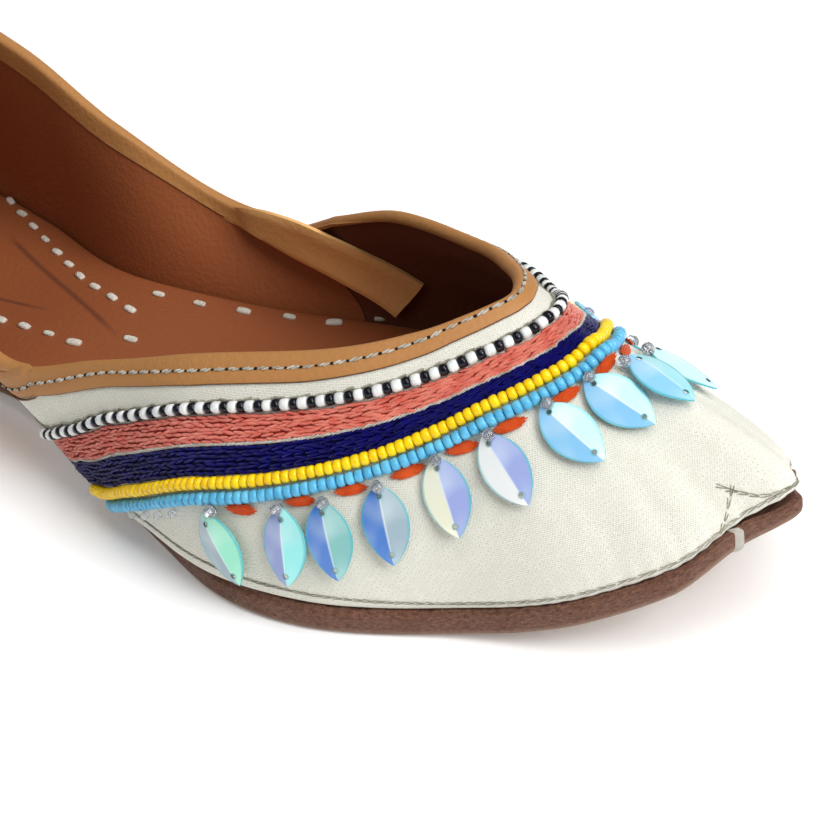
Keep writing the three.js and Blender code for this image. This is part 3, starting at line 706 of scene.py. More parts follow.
def thin_wall(name, w, down, face, back, material, flat=None):
    """A wall between two heights over the surface. down, face and back have one row per w."""
    column = w[:, None]
    flat = flat_pattern(column, down) if flat is None else flat
    return skin(name, around(column, down, face), around(column, down, back), flat, material)


def rounded_edges(across, power):
    """1 over the middle of a strip, and falling to 0 at its two long edges."""
    return np.sqrt(np.clip(1 - (2 * across - 1) ** power, 0, 1))


# %% [markdown]
# ## Cloth vamp
# Cream woven cloth is pulled over the last and sewn down along the sole. It is not quite even: it sinks
# a little between the bead work and the sole, and pulls run toward the pointed toe. Each of these soft
# troughs, and the low ridge along the top, is placed one by one with its own centre, reach and depth.

# %% Soft creases
# columns: w, down, reach along w, reach down, depth
CREASES = (
    (0.62, 27.0, 0.040, 6.0, 0.35),
    (0.80, 38.0, 0.060, 5.0, 0.30),
    (0.905, 43.0, 0.010, 7.0, 0.28),
    (0.935, 44.0, 0.008, 6.0, 0.30),
    (0.962, 45.0, 0.007, 5.0, 0.30),
    (1.060, 45.0, 0.010, 6.0, 0.28),
    (1.000, 30.0, 0.045, 9.0, -0.35),
    (1.180, 38.0, 0.060, 5.0, 0.30),
    (1.380, 27.0, 0.040, 6.0, 0.35),
)
CLOTH_THICK = 0.6
RIM_THIN = 0.7  # the cloth is skived thin under the binding
RIM_START = 1.6  # cloth and leather end this far below the fold of a binding
PUCKER, PUCKERS, PUCKER_HIGH = 0.16, 95, 4.0  # gathers of the cloth round the toe, along the sole
HEM_TURN, HEM_HIGH = 1.0, 1.3  # the lower hem turns in above the sole


def crease_depth(w, down):
    depth = np.zeros(np.broadcast(w, down).shape)
    for centre_w, centre_down, reach_w, reach_down, deep in CREASES:
        depth += deep * np.exp(-((w - centre_w) / reach_w) ** 2 - ((down - centre_down) / reach_down) ** 2)
    return depth


def cloth_height(w, down):
    """Height of the cloth's face over the wall."""
    u, _ = folded(w)
    rim = RIM_THIN * (1 - smooth_step(down - wing_edge(w), 1, 7))
    low = np.exp(-((rib_length(u) - down) / PUCKER_HIGH) ** 2) * smooth_step(u, 0.78, 0.95)
    gathers = PUCKER * low * np.sin(np.asarray(w) * 2 * np.pi * PUCKERS)
    hem = HEM_TURN * (1 - np.sqrt(smooth_step(rib_length(u) - down, -0.2, HEM_HIGH)))
    return PROUD - rim - hem - crease_depth(w, down) + gathers


# %% Vamp of cloth
def weave_places(w, down):
    """Straight weave: along the shoe, and across it from the ridge of the vamp."""
    points = around(w, down, PROUD)
    ridge_z = np.interp(points[..., 0], *around(1.0, np.linspace(0, rib_length(1.0), 60)).T[[0, 2]])
    lift = np.maximum(ridge_z - points[..., 2], 0)
    _, side = folded(np.broadcast_to(w, points.shape[:2]))
    centre = SWING * (points[..., 0] / HALF_LENGTH) ** 2 - SWING_CENTRE
    return np.stack([points[..., 0], side * np.hypot(points[..., 1] - centre, lift)], -1)


vamp_w = np.linspace(WING_REAR, 2 - WING_REAR, 401)
vamp_u, _ = folded(vamp_w)
vamp_edge = wing_edge(vamp_w) + RIM_START * smooth_step(vamp_u, WING_COLLAR - 0.01, WING_COLLAR)
shares = np.linspace(0, 1, 72)[None, :]
vamp_down = vamp_edge[:, None] + shares * (rib_length(vamp_u) - vamp_edge)[:, None]
vamp_face = cloth_height(vamp_w[:, None], vamp_down)
vamp = thin_wall("vamp_cloth", vamp_w, vamp_down, vamp_face, vamp_face - CLOTH_THICK, CLOTH,
                 weave_places(vamp_w[:, None], vamp_down))
settle(vamp, "vamp_cloth", "upper")

# %% [markdown]
# ## Quarter and lining
# The quarter is a low wall of plain tan leather round the heel. Its front ends tuck under the vamp. A
# brown leather lining runs all the way round inside; under the vamp it is a darker brown, which is
# painted shade. They are separate skins, because on the real shoe you see two leathers at every cut edge.

# %% Quarter and lining
QUARTER_THICK = 0.65
SAG, SAG_U, SAG_REACH = 0.5, 0.36, 0.09  # the quarter sinks in at the waist
SKIN_ROWS = np.linspace(0, 1, 44)[None, :]
quarter_w = np.linspace(-0.545, 0.545, 261)
quarter_u = folded(quarter_w)[0][:, None]
quarter_down = RIM_START + SKIN_ROWS * (rib_length(quarter_u) - RIM_START)
sag = SAG * np.exp(-((quarter_u - SAG_U) / SAG_REACH) ** 2)
sag = sag * np.sin(np.pi * quarter_down / rib_length(quarter_u))
quarter = thin_wall("quarter_leather", quarter_w, quarter_down, -sag, -sag - QUARTER_THICK, QUARTER)
settle(quarter, "quarter_leather", "upper")


def lining_skin(name, w, edge, outside, skived, material):
    """A lining that starts below its edge and is skived thinner there."""
    u, _ = folded(w)
    start = (RIM_START + edge)[:, None]
    down = start + SKIN_ROWS * (rib_length(u)[:, None] - start)
    rim = 1 - smooth_step(down - start, 0, 5)
    piece = thin_wall(name, w, down, outside - 0.15 * rim, -WALL + skived * rim, material)
    return settle(piece, "lining_leather", "upper")


lining_w = np.linspace(-0.552, 0.552, 261)
lining_skin("quarter_lining", lining_w, 0 * lining_w, -0.72, 0.45, LINING)
lining_w = np.linspace(0.553, 1.447, 261)
lining_skin("vamp_lining", lining_w, wing_edge(lining_w), 0.1, 1.0, VAMP_LINING_SHADE)

# %% [markdown]
# ## Sole
# The sole is one thick piece of leather with an upturned, pointed tab. Its cut edge is fibrous, darker
# where it was stained, and paler below where it rubs the floor. The edge is a row of points carried
# round the outline, and the flat faces span from side to side.

# %% Sole
# columns: distance outward, share of the thickness
SOLE_SIDE = (
    (-2.4, 0.0), (-1.2, 0.01), (-0.45, 0.06), (-0.1, 0.16), (0.0, 0.3), (0.02, 0.5), (0.0, 0.68),
    (-0.12, 0.8), (-0.4, 0.87), (-0.75, 0.9), (-0.85, 0.95), (-1.1, 1.0), (-2.6, 1.0),
)


def plate(name, edge_rows, material, uv):
    """A plate with the same edge on both sides, spanned by flat faces below and above."""
    rows = edge_rows.shape[1]
    both = np.stack([edge_rows * [1, -1, 1], edge_rows], 2)
    corner = np.arange(both[..., 0].size).reshape(both.shape[:3]).tolist()
    faces = []
    for here, following in zip(corner, corner[1:]):
        for k in range(rows - 1):
            faces.append((here[k][0], following[k][0], following[k + 1][0], here[k + 1][0]))
            faces.append((here[k][1], here[k + 1][1], following[k + 1][1], following[k][1]))
        for k in (0, rows - 1):
            faces.append((here[k][0], here[k][1], following[k][1], following[k][0]))
    piece = make_piece(name, swung(both), faces, material, np.repeat(uv[:, :, None], 2, axis=2))
    work = bmesh.new()
    work.from_mesh(piece.data)
    bmesh.ops.remove_doubles(work, verts=work.verts, dist=1e-7)
    bmesh.ops.recalc_face_normals(work, faces=work.faces)
    work.to_mesh(piece.data)
    work.free()
    return piece


WAIST_TUCK = 3.4  # the sole is cut narrower than the upper at the waist
WAIST_REAR, WAIST_FRONT = (0.20, 0.36), (0.56, 0.72)
RIPPLE, RIPPLE_FINE, RIPPLE_WIDE = 0.12, 260, 97  # the upper edge was cut by hand


def sole_rows(u):
    """Points of the sole's edge, one row per u, and their level above the floor face."""
    side = np.array(SOLE_SIDE)
    tuck = WAIST_TUCK * smooth_step(u, *WAIST_REAR) * (1 - smooth_step(u, *WAIST_FRONT))
    point, _ = outline(u[:, None], side[None, :, 0] - tuck[:, None])
    tab = tab_share(u[:, None], point[..., 1])
    x = point[..., 0] + TAB_LENGTH * tab
    thick = SOLE_THICK - TAB_THIN * tab
    ripple = RIPPLE * np.sin(u[:, None] * RIPPLE_FINE) * np.sin(u[:, None] * RIPPLE_WIDE)
    z = sole_bottom(x) + thick * side[:, 1] + ripple * (side[:, 1] > 0.5)
    return np.stack([x, point[..., 1], z], -1), thick * side[:, 1]


sole_u = np.concatenate([np.linspace(0, 0.9, 240), np.linspace(0.9, 1, 90)[1:]])
sole_edge, sole_level = sole_rows(sole_u)
run = np.concatenate([[0], np.cumsum(np.linalg.norm(np.diff(sole_edge[:, 4], axis=0), axis=1))])
sole_uv = np.stack([np.broadcast_to(run[:, None], sole_level.shape), sole_level], -1)
outsole = plate("outsole_leather", sole_edge, SOLE, sole_uv)
settle(outsole, "sole_leather", "outsole")

# %% [markdown]
# ## Thread at the toe
# One loop of white thread shows across the edge of the sole, just behind the pointed tab.

# %% Loop of thread
LOOP_U = 0.968
LOOP_ACROSS = (-1.0, -0.4, 0.4, 1.0)
LOOP_FORWARD, LOOP_OUT = np.array([0.8, -0.55, 0.2]), np.array([0.5, 0.8, 0.15])
LOOP_HIGH, LOOP_LOW, LOOP_EDGE = 0.28, 0.02, 0.2  # face, reverse, and how far the long edges sink


def loop_of_thread(name, side):
    edge, _ = sole_rows(np.full(2, LOOP_U))
    line = swung(edge[0, 1:12] * [1, side, 1])
    forward, out = LOOP_FORWARD * [1, side, 1], LOOP_OUT * [1, side, 1]
    face, reverse = (np.stack([line + out * lift + forward * t for t in LOOP_ACROSS], 1)
                     for lift in (LOOP_HIGH, LOOP_LOW))
    face[:, [0, -1]] -= out * LOOP_EDGE
    rings = there_and_back(face, reverse)
    flat = np.stack([np.broadcast_to(np.arange(8.0), rings.shape[:2]),
                     np.broadcast_to(np.arange(len(line))[:, None] * 0.4, rings.shape[:2])], -1)
    piece = make_piece(name, rings, ring_faces(len(line), 8), WHITE_THREAD, flat, sharp=80.0)
    return settle(piece, "white_thread")


loop_of_thread("toe_thread_outer", -1)
loop_of_thread("toe_thread_inner", 1)

# %% [markdown]
# ## Insole
# A thin brown board lies inside, on the sole. It has a softly rounded edge and stays clear of the wall.

# %% Insole
INSOLE_THICK, INSOLE_GAP, INSOLE_TOE_GAP = 1.5, 0.5, 3.0
INSOLE_SIDE = ((0.0, 0.0), (0.0, 0.35), (0.0, 0.75), (-0.5, 0.97), (-1.4, 1.0), (-7.0, 0.98))


def insole_rows(u):
    side = np.array(INSOLE_SIDE)
    gap = INSOLE_GAP + INSOLE_TOE_GAP * smooth_step(u, 0.8, 0.93)
    point, _ = outline(u[:, None], side[:, 0] - FEATHER - WALL - gap[:, None])
    z = sole_bottom(point[..., 0]) + SOLE_THICK + SEAT + INSOLE_THICK * side[:, 1]
    return np.concatenate([point, z[..., None]], -1)


insole_edge = insole_rows(sole_u)
insole = plate("insole_board", insole_edge, INSOLE, insole_edge[..., :2])
settle(insole, "insole_leather", "insole")

# %% [markdown]
# ## Bindings
# Tan leather is folded over the collar and stitched through. The fold is a half circle at the top with
# two straight legs, so its section is drawn once and carried along the topline.

# %% Folded bindings
LIP = 0.65  # thickness of the binding leather
FOLD_TOP = 1.5  # the round of the fold ends this far below its edge
LEG_POINTS = 7
RIM_PROBE = 0.5  # the height of a rim is read this far below the fold
OVER = 0.04  # leather lies this far over the cloth
TUCK_IN = 0.28  # the cut edge of the outer leg is pressed down


def binding_section(out_leg, in_leg, out_face, in_face):
    """Distances down and heights of the outer face and the reverse, one row per station."""
    arc = np.linspace(0, np.pi, 11)[None, :]
    legs_out = np.linspace(1, 0, LEG_POINTS)[None, :-1]
    legs_in = np.linspace(0, 1, 5)[None, 1:]
    middle = (out_face + in_face) / 2
    rows = []
    for lift in (LIP, 0.0):
        radius = (out_face - in_face) / 2 + lift
        down = np.concatenate([FOLD_TOP + (out_leg - FOLD_TOP) * legs_out,
                               FOLD_TOP - radius * np.sin(arc) * 0.85,
                               FOLD_TOP + (in_leg - FOLD_TOP) * legs_in], 1)
        height = np.concatenate([(middle + radius) * np.ones_like(legs_out), middle + radius * np.cos(arc),
                                 (middle - radius) * np.ones_like(legs_in)], 1)
        rows.append((down, height))
    return rows


def folded_binding(name, w, edge, swell, out_leg, in_leg, out_face, in_face, nodes):
    """edge is the distance of the fold below the topline. swell lifts the end of the outer leg."""
    column, edge = w[:, None], edge[:, None]
    sizes = [np.broadcast_to(v, w.shape)[:, None] for v in (out_leg, in_leg, out_face, in_face)]
    (down, height), (down_back, height_back) = binding_section(*sizes)
    share = np.pad(np.linspace(1, 0, LEG_POINTS), (0, down.shape[1] - LEG_POINTS))
    leg = share[None, :] * swell[:, None]
    height[:, 0] -= TUCK_IN
    front = around(column, down + edge, height + leg)
    back = around(column, down_back + edge, height_back + leg)
    piece = skin(name, front, back, flat_pattern(column, down), TAN, sharp=55.0)
    return settle(piece, "tan_leather", *nodes)


bind_w = np.linspace(WING_COLLAR - 0.004, 2 - WING_COLLAR + 0.004, 361)
fold_edge = wing_edge(bind_w)
rim_face = cloth_height(bind_w, fold_edge + RIM_PROBE) + OVER
rim_swell = cloth_height(bind_w, binding_low(bind_w)) - rim_face + OVER
inside_leg = 1.75 - 0.95 * smooth_step(bind_w, 1.32, 1.40)  # shorter inside the inner wing
folded_binding("vamp_binding_fold", bind_w, fold_edge, rim_swell, out_leg=binding_low(bind_w) - fold_edge,
               in_leg=inside_leg, out_face=rim_face, in_face=-0.62, nodes=["vamp_binding"])

QUARTER_END = 0.53
heel_w = np.linspace(-QUARTER_END, QUARTER_END, 261)
outer_leg = np.clip(wing_edge(heel_w) - 0.2, 0.9, 4.5)
folded_binding("quarter_binding_fold", heel_w, 0 * heel_w, 0 * heel_w, out_leg=outer_leg, in_leg=5.6,
               out_face=0.05, in_face=-1.25, nodes=["quarter_binding"])


# %% Edges that lie flat: the wing's rear and the quarter's tails
SIDES = {"outer": lambda u: u, "inner": lambda u: 2 - u}  # from u to w
STRIP_EDGE = 0.35  # share of the thickness that is left at a long edge


def strip_thickness(across):
    return STRIP_EDGE + (1 - STRIP_EDGE) * rounded_edges(across, 8)


def flat_strip(name, w, low, high, base, thick, nodes):
    """A strip with rounded long edges, between two distances down."""
    across = np.linspace(0, 1, 9)[None, :]
    down = low[:, None] + (high - low)[:, None] * across
    piece = thin_wall(name, w, down, base + thick * strip_thickness(across), base + 0 * down, TAN)
    return settle(piece, "tan_leather", *nodes)


for name, turn in SIDES.items():
    strip_u = np.linspace(WING_REAR - 0.001, WING_COLLAR + 0.004, 41)
    strip_w = turn(strip_u)
    base = cloth_height(strip_w, wing_edge(strip_w) + 3.0)[:, None] + 0.02
    thick = LIP * (1 - 0.9 * smooth_step(strip_u, WING_COLLAR - 0.006, WING_COLLAR + 0.004))[:, None]
    flat_strip(f"wing_edge_{name}", strip_w, wing_edge(strip_w) - 0.3, binding_low(strip_w), base, thick,
               [f"wing_binding_{name}"])

# partly painted shade: a dark strip along the binding's cut edge, the edge's colour and the shade of the
# step onto the cloth
edge_w = np.linspace(WING_REAR, 2 - WING_REAR, 521)
edge_low = binding_low(edge_w)
edge_down = edge_low[:, None] + np.array([[-0.12, 0.1]])
edge_base = cloth_height(edge_w[:, None], edge_down)
cut_edge = thin_wall("binding_cut_edge", edge_w, edge_down, edge_base + 0.4, edge_base + 0.02, TAN_EDGE_AND_SHADE)
settle(cut_edge, "tan_leather")

# columns: u and distance down of the upper edge, then of the lower edge
TAIL = (
    (0.5000, -0.4, 0.4800, 4.9),
    (0.5225, -1.3, 0.5050, 5.2),
    (0.5560, -1.5, 0.5260, 6.3),
    (0.5805, 0.4, 0.5415, 9.8),
    (0.5945, 5.1, 0.5515, 13.2),
    (0.6030, 10.8, 0.5620, 18.5),
    (0.6165, 19.0, 0.5800, 25.9),
)
TAIL_SUNK = {"outer": 3.0, "inner": 0.0}  # the outer tail lies lower
TAIL_POINTS, TAIL_GROWN = 49, 0.3  # it grows out of the binding over this share of its length
TAIL_DIP, TAIL_OFF, TAIL_THICK, TAIL_WEDGE = 1.6, 0.25, 0.9, 1.0


def tail_strip(name, turn, sunk, node):
    """The end of the quarter, which runs on inside the wing and is cut off square."""
    spine = smooth_path(TAIL, TAIL_POINTS)
    across = np.linspace(0, 1, 11)[None, :]
    grown = smooth_step(np.linspace(0, 1, TAIL_POINTS), 0.0, TAIL_GROWN)[:, None]
    u = spine[:, :1] + (spine[:, 2:3] - spine[:, :1]) * across
    down = spine[:, 1:2] + (spine[:, 3:] - spine[:, 1:2]) * across + sunk + TAIL_DIP * (1 - grown)
    back = -WALL - 0.1
    face = back - grown * (TAIL_OFF + TAIL_THICK * strip_thickness(across) + TAIL_WEDGE * across)
    front, reverse = around(turn(u), down, face), around(turn(u), down, back)
    return settle(skin(name, front, reverse, flat_pattern(u, down), TAIL_TAN_PAINTED_LIGHT), "tan_leather", node)


for name, turn in SIDES.items():
    tail_strip(f"quarter_end_{name}", turn, TAIL_SUNK[name], f"quarter_tail_{name}")

# %% [markdown]
# ## A tree that sews things along a line
# Beads, stitches and plies all repeat along a line on the surface. One Geometry Nodes tree does it: it
# resamples the line at a pitch, puts a shape on every point, turns it along the line with its back to
# the cloth, and gives each one a small random turn and size. Placing hundreds of copies by hand would
# work too, but a change of pitch would then mean starting over.


# %% The sewing tree
def sewing_tree():
    tree = bpy.data.node_groups.new("Sew_Along_Line", "GeometryNodeTree")
    sockets = (("Geometry", "NodeSocketGeometry"), ("Shape", "NodeSocketObject"),
               ("Finish", "NodeSocketMaterial"), ("Pitch", "NodeSocketFloat"), ("Every", "NodeSocketInt"),
               ("Phase", "NodeSocketInt"), ("Slant", "NodeSocketFloat"), ("Wander", "NodeSocketFloat"),
               ("Size Spread", "NodeSocketFloat"), ("Seed", "NodeSocketInt"))
    for label, kind in sockets:
        tree.interface.new_socket(label, in_out="INPUT", socket_type=kind)
    tree.interface.new_socket("Geometry", in_out="OUTPUT", socket_type="NodeSocketGeometry")
    given = tree.nodes.new("NodeGroupInput").outputs
    line = add_node(tree, "GeometryNodeMeshToCurve", {"Mesh": given["Geometry"]})
    even = add_node(tree, "GeometryNodeResampleCurve",
                    {"Curve": line.outputs["Curve"], "Length": given["Pitch"]}, mode="LENGTH")
    tangent = add_node(tree, "GeometryNodeInputTangent").outputs[0]
    up = add_node(tree, "GeometryNodeInputNamedAttribute", {"Name": "up"}, data_type="FLOAT_VECTOR")
    lean = add_node(tree, "GeometryNodeInputNamedAttribute", {"Name": "lean"}, data_type="FLOAT")
    along = add_node(tree, "FunctionNodeAlignRotationToVector", {"Vector": tangent}, axis="X")
    stood = add_node(tree, "FunctionNodeAlignRotationToVector",
                     {"Rotation": along.outputs[0], "Vector": up.outputs["Attribute"]},
                     axis="Z", pivot_axis="X")
    wander = add_node(tree, "FunctionNodeRandomValue",
                      {2: times(tree, given["Wander"], -1.0), 3: given["Wander"],
                       "Seed": given["Seed"]}, data_type="FLOAT")
    turn = math(tree, "ADD", math(tree, "ADD", given["Slant"], lean.outputs["Attribute"]),
                wander.outputs[1])
    euler = add_node(tree, "ShaderNodeCombineXYZ", {"Z": turn})
    spin = add_node(tree, "FunctionNodeEulerToRotation", {0: euler.outputs[0]})
    posed = add_node(tree, "FunctionNodeRotateRotation",
                     {"Rotation": stood.outputs[0], "Rotate By": spin.outputs[0]}, rotation_space="LOCAL")
    small = math(tree, "SUBTRACT", 1.0, given["Size Spread"])
    large = math(tree, "ADD", 1.0, given["Size Spread"])
    size = add_node(tree, "FunctionNodeRandomValue",
                    {2: small, 3: large, "Seed": math(tree, "ADD", given["Seed"], 7.0)}, data_type="FLOAT")
    index = add_node(tree, "GeometryNodeInputIndex").outputs[0]
    left = math(tree, "MODULO", index, given["Every"])
    chosen = add_node(tree, "FunctionNodeCompare", {0: left, 1: given["Phase"], "Epsilon": 0.1},
                      data_type="FLOAT", operation="EQUAL")
    shape = add_node(tree, "GeometryNodeObjectInfo", {"Object": given["Shape"]})
    placed = add_node(tree, "GeometryNodeInstanceOnPoints",
                      {"Points": even.outputs[0], "Selection": chosen.outputs[0],
                       "Instance": shape.outputs["Geometry"], "Rotation": posed.outputs[0],
                       "Scale": size.outputs[1]})
    real = add_node(tree, "GeometryNodeRealizeInstances", {"Geometry": placed.outputs[0]})
    finish = add_node(tree, "GeometryNodeSetMaterial",
                      {"Geometry": real.outputs[0], "Material": given["Finish"]})
    result = tree.nodes.new("NodeGroupOutput")
    tree.links.new(finish.outputs[0], result.inputs[0])
    return tree


SEW = sewing_tree()
SOCKETS = {item.name: item.identifier for item in SEW.interface.items_tree if item.in_out == "INPUT"}


def sew(name, lines, shape, finish, slot, nodes=(), leans=None, **values):
    """lines is a list of (points, ups). The shapes are sewn along all of them as one piece."""
    points, ups, edges, lean = [], [], [], []
    for number, (line, up) in enumerate(lines):
        start = len(points)
        points += (line * MM).tolist()
        ups += up.tolist()
        lean += [leans[number] if leans else 0.0] * len(line)
        edges += [(start + i, start + i + 1) for i in range(len(line) - 1)]
    mesh = bpy.data.meshes.new(name)
    mesh.from_pydata(points, edges, [])
    mesh.attributes.new("up", "FLOAT_VECTOR", "POINT").data.foreach_set("vector", np.array(ups).ravel())
    mesh.attributes.new("lean", "FLOAT", "POINT").data.foreach_set("value", np.array(lean, float))
    piece = bpy.data.objects.new(name, mesh)
    scene.collection.objects.link(piece)
    modifier = piece.modifiers.new("sewing", "NODES")
    modifier.node_group = SEW
    inputs = {"Shape": shape, "Finish": finish, "Pitch": 0.002, "Every": 1, "Phase": 0, "Slant": 0.0,
              "Wander": 0.0, "Size Spread": 0.0, "Seed": 1}
    inputs.update({key.replace("_", " ").title(): value for key, value in values.items()})
    for label, value in inputs.items():
        modifier[SOCKETS[label]] = value
    graph = bpy.context.evaluated_depsgraph_get()
    made = bpy.data.meshes.new_from_object(
        piece.evaluated_get(graph), preserve_all_data_layers=True, depsgraph=graph)
    piece.modifiers.clear()
    piece.data = made
    made.name = name
    made.shade_smooth()
    if not made.materials:
        made.materials.append(finish)
    return settle(piece, slot, *nodes)


# %% [markdown]
# ## Small shapes to sew on
# Each shape lies along X, and its Z points away from the cloth. They repeat hundreds of times, so each
# has only a few dozen faces and smooth shading does the rest.


# %% Beads and stitches
def turned_shape(profile, sides, flat=1.0):
    """A profile of (along, radius) turned about X, closed at both ends."""
    angle = np.linspace(0, 2 * np.pi, sides, endpoint=False)
    rings = []
    for along, radius in profile:
        rings.append(np.column_stack([np.full(sides, along), radius * np.cos(angle),
                                      radius * flat * np.sin(angle)]))
    points = np.concatenate(rings)
    faces = [tuple(range(sides)), tuple(range(len(points) - sides, len(points)))]
    for i in range(len(profile) - 1):
        for k in range(sides):
            n = (k + 1) % sides
            faces.append((i * sides + k, i * sides + n, (i + 1) * sides + n, (i + 1) * sides + k))
    uv = np.column_stack([points[:, 0], np.tile(np.arange(sides) / sides, len(profile))])
    return points, faces, uv


SHAPES = []


def shape_object(name, *solids):
    """One shape made of one or more solids. It is put away after the last stitch."""
    points, faces, uv = [], [], []
    for solid_points, solid_faces, solid_uv in solids:
        start = sum(len(p) for p in points)
        points.append(solid_points)
        uv.append(solid_uv)
        faces += [tuple(i + start for i in face) for face in solid_faces]
    piece = make_piece(name, np.concatenate(points), faces, WHITE_THREAD, np.concatenate(uv), sharp=70.0)
    SHAPES.append(piece)
    return piece


def bead_profile(length, radius):
    half = length / 2
    return [(-half, 0.38 * radius), (-0.9 * half, 0.8 * radius), (-0.45 * half, radius),
            (0.45 * half, radius), (0.9 * half, 0.8 * radius), (half, 0.38 * radius)]


def stitch_profile(length, radius):
    half = length / 2
    return [(-half, 0.2 * radius), (-0.75 * half, 0.75 * radius), (0.0, radius),
            (0.75 * half, 0.75 * radius), (half, 0.2 * radius)]


def moved(solid, offset, turn=0.0):
    points, faces, uv = solid
    c, s = np.cos(turn), np.sin(turn)
    matrix = np.array([[c, -s, 0], [s, c, 0], [0, 0, 1]])
    return points @ matrix.T + np.asarray(offset, float), faces, uv


BEAD = 2.2
PEARL = 2.0  # beads of the first row
white_shape = shape_object("shape_white", turned_shape(bead_profile(1.75, PEARL / 2), 10))
black_shape = shape_object("shape_black", turned_shape(bead_profile(1.4, PEARL / 2 + 0.02), 10))
seed_shape = shape_object("shape_seed", turned_shape(bead_profile(1.5, BEAD / 2), 10))
clear_shape = shape_object("shape_clear", turned_shape(bead_profile(1.7, BEAD / 2), 10))
tiny_shape = shape_object("shape_tiny", turned_shape(bead_profile(1.1, 0.7), 10))
core_shape = shape_object("shape_core", turned_shape(stitch_profile(1.72, 0.55), 8))
floss_shape = shape_object("shape_floss", turned_shape(stitch_profile(2.6, 0.36), 6, 0.9))
ply_shape = shape_object("shape_ply", turned_shape(stitch_profile(1.9, 0.26), 6))
cord_shape = shape_object("shape_cord", turned_shape(stitch_profile(1.7, 0.17), 6))
lock_ply = turned_shape(stitch_profile(1.5, 0.22), 6)
lock_shape = shape_object("shape_lock", moved(lock_ply, (-0.38, 0.08, 0.02), 0.26),
                          moved(lock_ply, (0.38, -0.08, 0.02), 0.26))
hole_shape = shape_object("shape_hole", turned_shape(stitch_profile(0.6, 0.26), 8, 0.5))
chain_ply = turned_shape(stitch_profile(1.9, 0.09), 5)
chain_shape = shape_object("shape_chain", moved(chain_ply, (0, 0.17, 0), -0.1),
                           moved(chain_ply, (0, -0.17, 0), 0.1))
dash_shape = shape_object("shape_dash", turned_shape(bead_profile(2.8, 0.8), 8, 0.7))
# columns: across, length, height
STRANDS = ((0.0, 6.0, 0.2), (0.34, 5.2, 0.14), (-0.34, 5.2, 0.14), (0.66, 3.6, 0.04), (-0.66, 3.6, 0.04))
bundle_shape = shape_object("shape_bundle", *[
    moved(turned_shape(stitch_profile(long, 0.3), 6), (0, y, lift)) for y, long, lift in STRANDS])
print("shapes:", len(SHAPES))


# %% [markdown]
# ## Bead rows
# Seed beads are short glass tubes with rounded ends, threaded and couched down in rows. White and black
# take turns in the first row. The yellow and the blue row lie side by side below the bands.

# %% Sew the beads
ROW_REAR = 0.506  # bead rows and bands start behind the turn of the wing
ROW_CLEAR = 0.3  # rows end this far above the foot of the cloth
WHITE_PITCH, YELLOW_PITCH, BLUE_PITCH = 1.57 * MM, 1.5 * MM, 1.52 * MM


def surface_line(w, down, height=0.0):
    """A line on the cloth with its outward directions."""
    down = np.broadcast_to(np.asarray(down, float), w.shape)
    return around(w, down, cloth_height(w, down) + height), facing(w, down)


def row_range(lowest, rear=WING_REAR + 0.004):
    """The part of a row that stays clear of the sole, on both sides."""
    w = np.linspace(rear, 2 - rear, 1600)
    u, _ = folded(w)
    return w[rib_length(u) - lowest(w) > ROW_CLEAR]


def bead_line(share, below, lift):
    w = row_range(lambda x: trim_line(x, share, below), ROW_REAR)
    return surface_line(w, trim_line(w, share, below), lift)


first_row = bead_line(0.0, 0.0, PEARL * 0.4)
sew("beads_white", [first_row], white_shape, WHITE_BEAD, "white_bead", ["beads_black_white"],
    pitch=WHITE_PITCH, every=2, phase=0, wander=0.07, size_spread=0.05, seed=3)
sew("beads_black", [first_row], black_shape, BLACK_BEAD, "black_bead", ["beads_black_white"],
    pitch=WHITE_PITCH, every=2, phase=1, wander=0.07, size_spread=0.05, seed=5)
sew("beads_yellow_row", [bead_line(1.0, -2.4, BEAD * 0.38)], seed_shape, YELLOW_BEAD, "yellow_bead",
    ["beads_yellow"], pitch=YELLOW_PITCH, wander=0.10, size_spread=0.06, seed=11)
sew("beads_blue_row", [bead_line(1.0, 0.0, BEAD * 0.38)], seed_shape, BLUE_BEAD, "blue_bead",
    ["beads_blue"], pitch=BLUE_PITCH, wander=0.10, size_spread=0.06, seed=17)

# %% [markdown]
# ## Stitched bands
# The coral and the navy band are filled with close rows of satin floss. Each row is a chain of short
# slanted stitches that catch the light, over a thin bed of the same thread. Under the coral the bed is a
# darker red: painted shade in the gaps between the stitches.

# %% Sew the bands
FLOSS_LEAN, FLOSS_ROWS, FLOSS_HIGH = 0.13, 7, 0.36


def stitched_band(name, upper, lower, bed, finish, seed):
    """upper and lower are the (share, below) of the band's two edges."""
    slot, node = f"{name}_thread", f"{name}_band"
    w = row_range(lambda x: trim_line(x, *upper) + 0.5, ROW_REAR)
    across = np.linspace(0, 1, 9)[None, :]
    foot = rib_length(folded(w)[0]) - ROW_CLEAR
    top, low = trim_line(w, *upper), trim_line(w, *lower)
    down = top[:, None] + (np.minimum(low, foot) - top)[:, None] * across
    base = cloth_height(w[:, None], down)
    face = base + 0.08 + 0.1 * rounded_edges(across, 6)
    settle(thin_wall(f"{name}_bed", w, down, face, base + 0.02, bed), slot, node)
    lines, leans = [], []
    for number in range(FLOSS_ROWS):
        share = (number + 0.5) / FLOSS_ROWS
        shift = 4 * (number % 3)
        row = top + (low - top) * share + 0.1 * np.sin(w * 190 + 2.1 * number)
        keep = np.flatnonzero(row < foot)[shift:]
        lines.append(surface_line(w[keep], row[keep], FLOSS_HIGH))
        leans.append(FLOSS_LEAN if number % 2 else -FLOSS_LEAN)
    sew(f"{name}_floss", lines, floss_shape, finish, slot, [node], leans=leans,
        pitch=2.1 * MM, wander=0.12, size_spread=0.14, seed=seed)


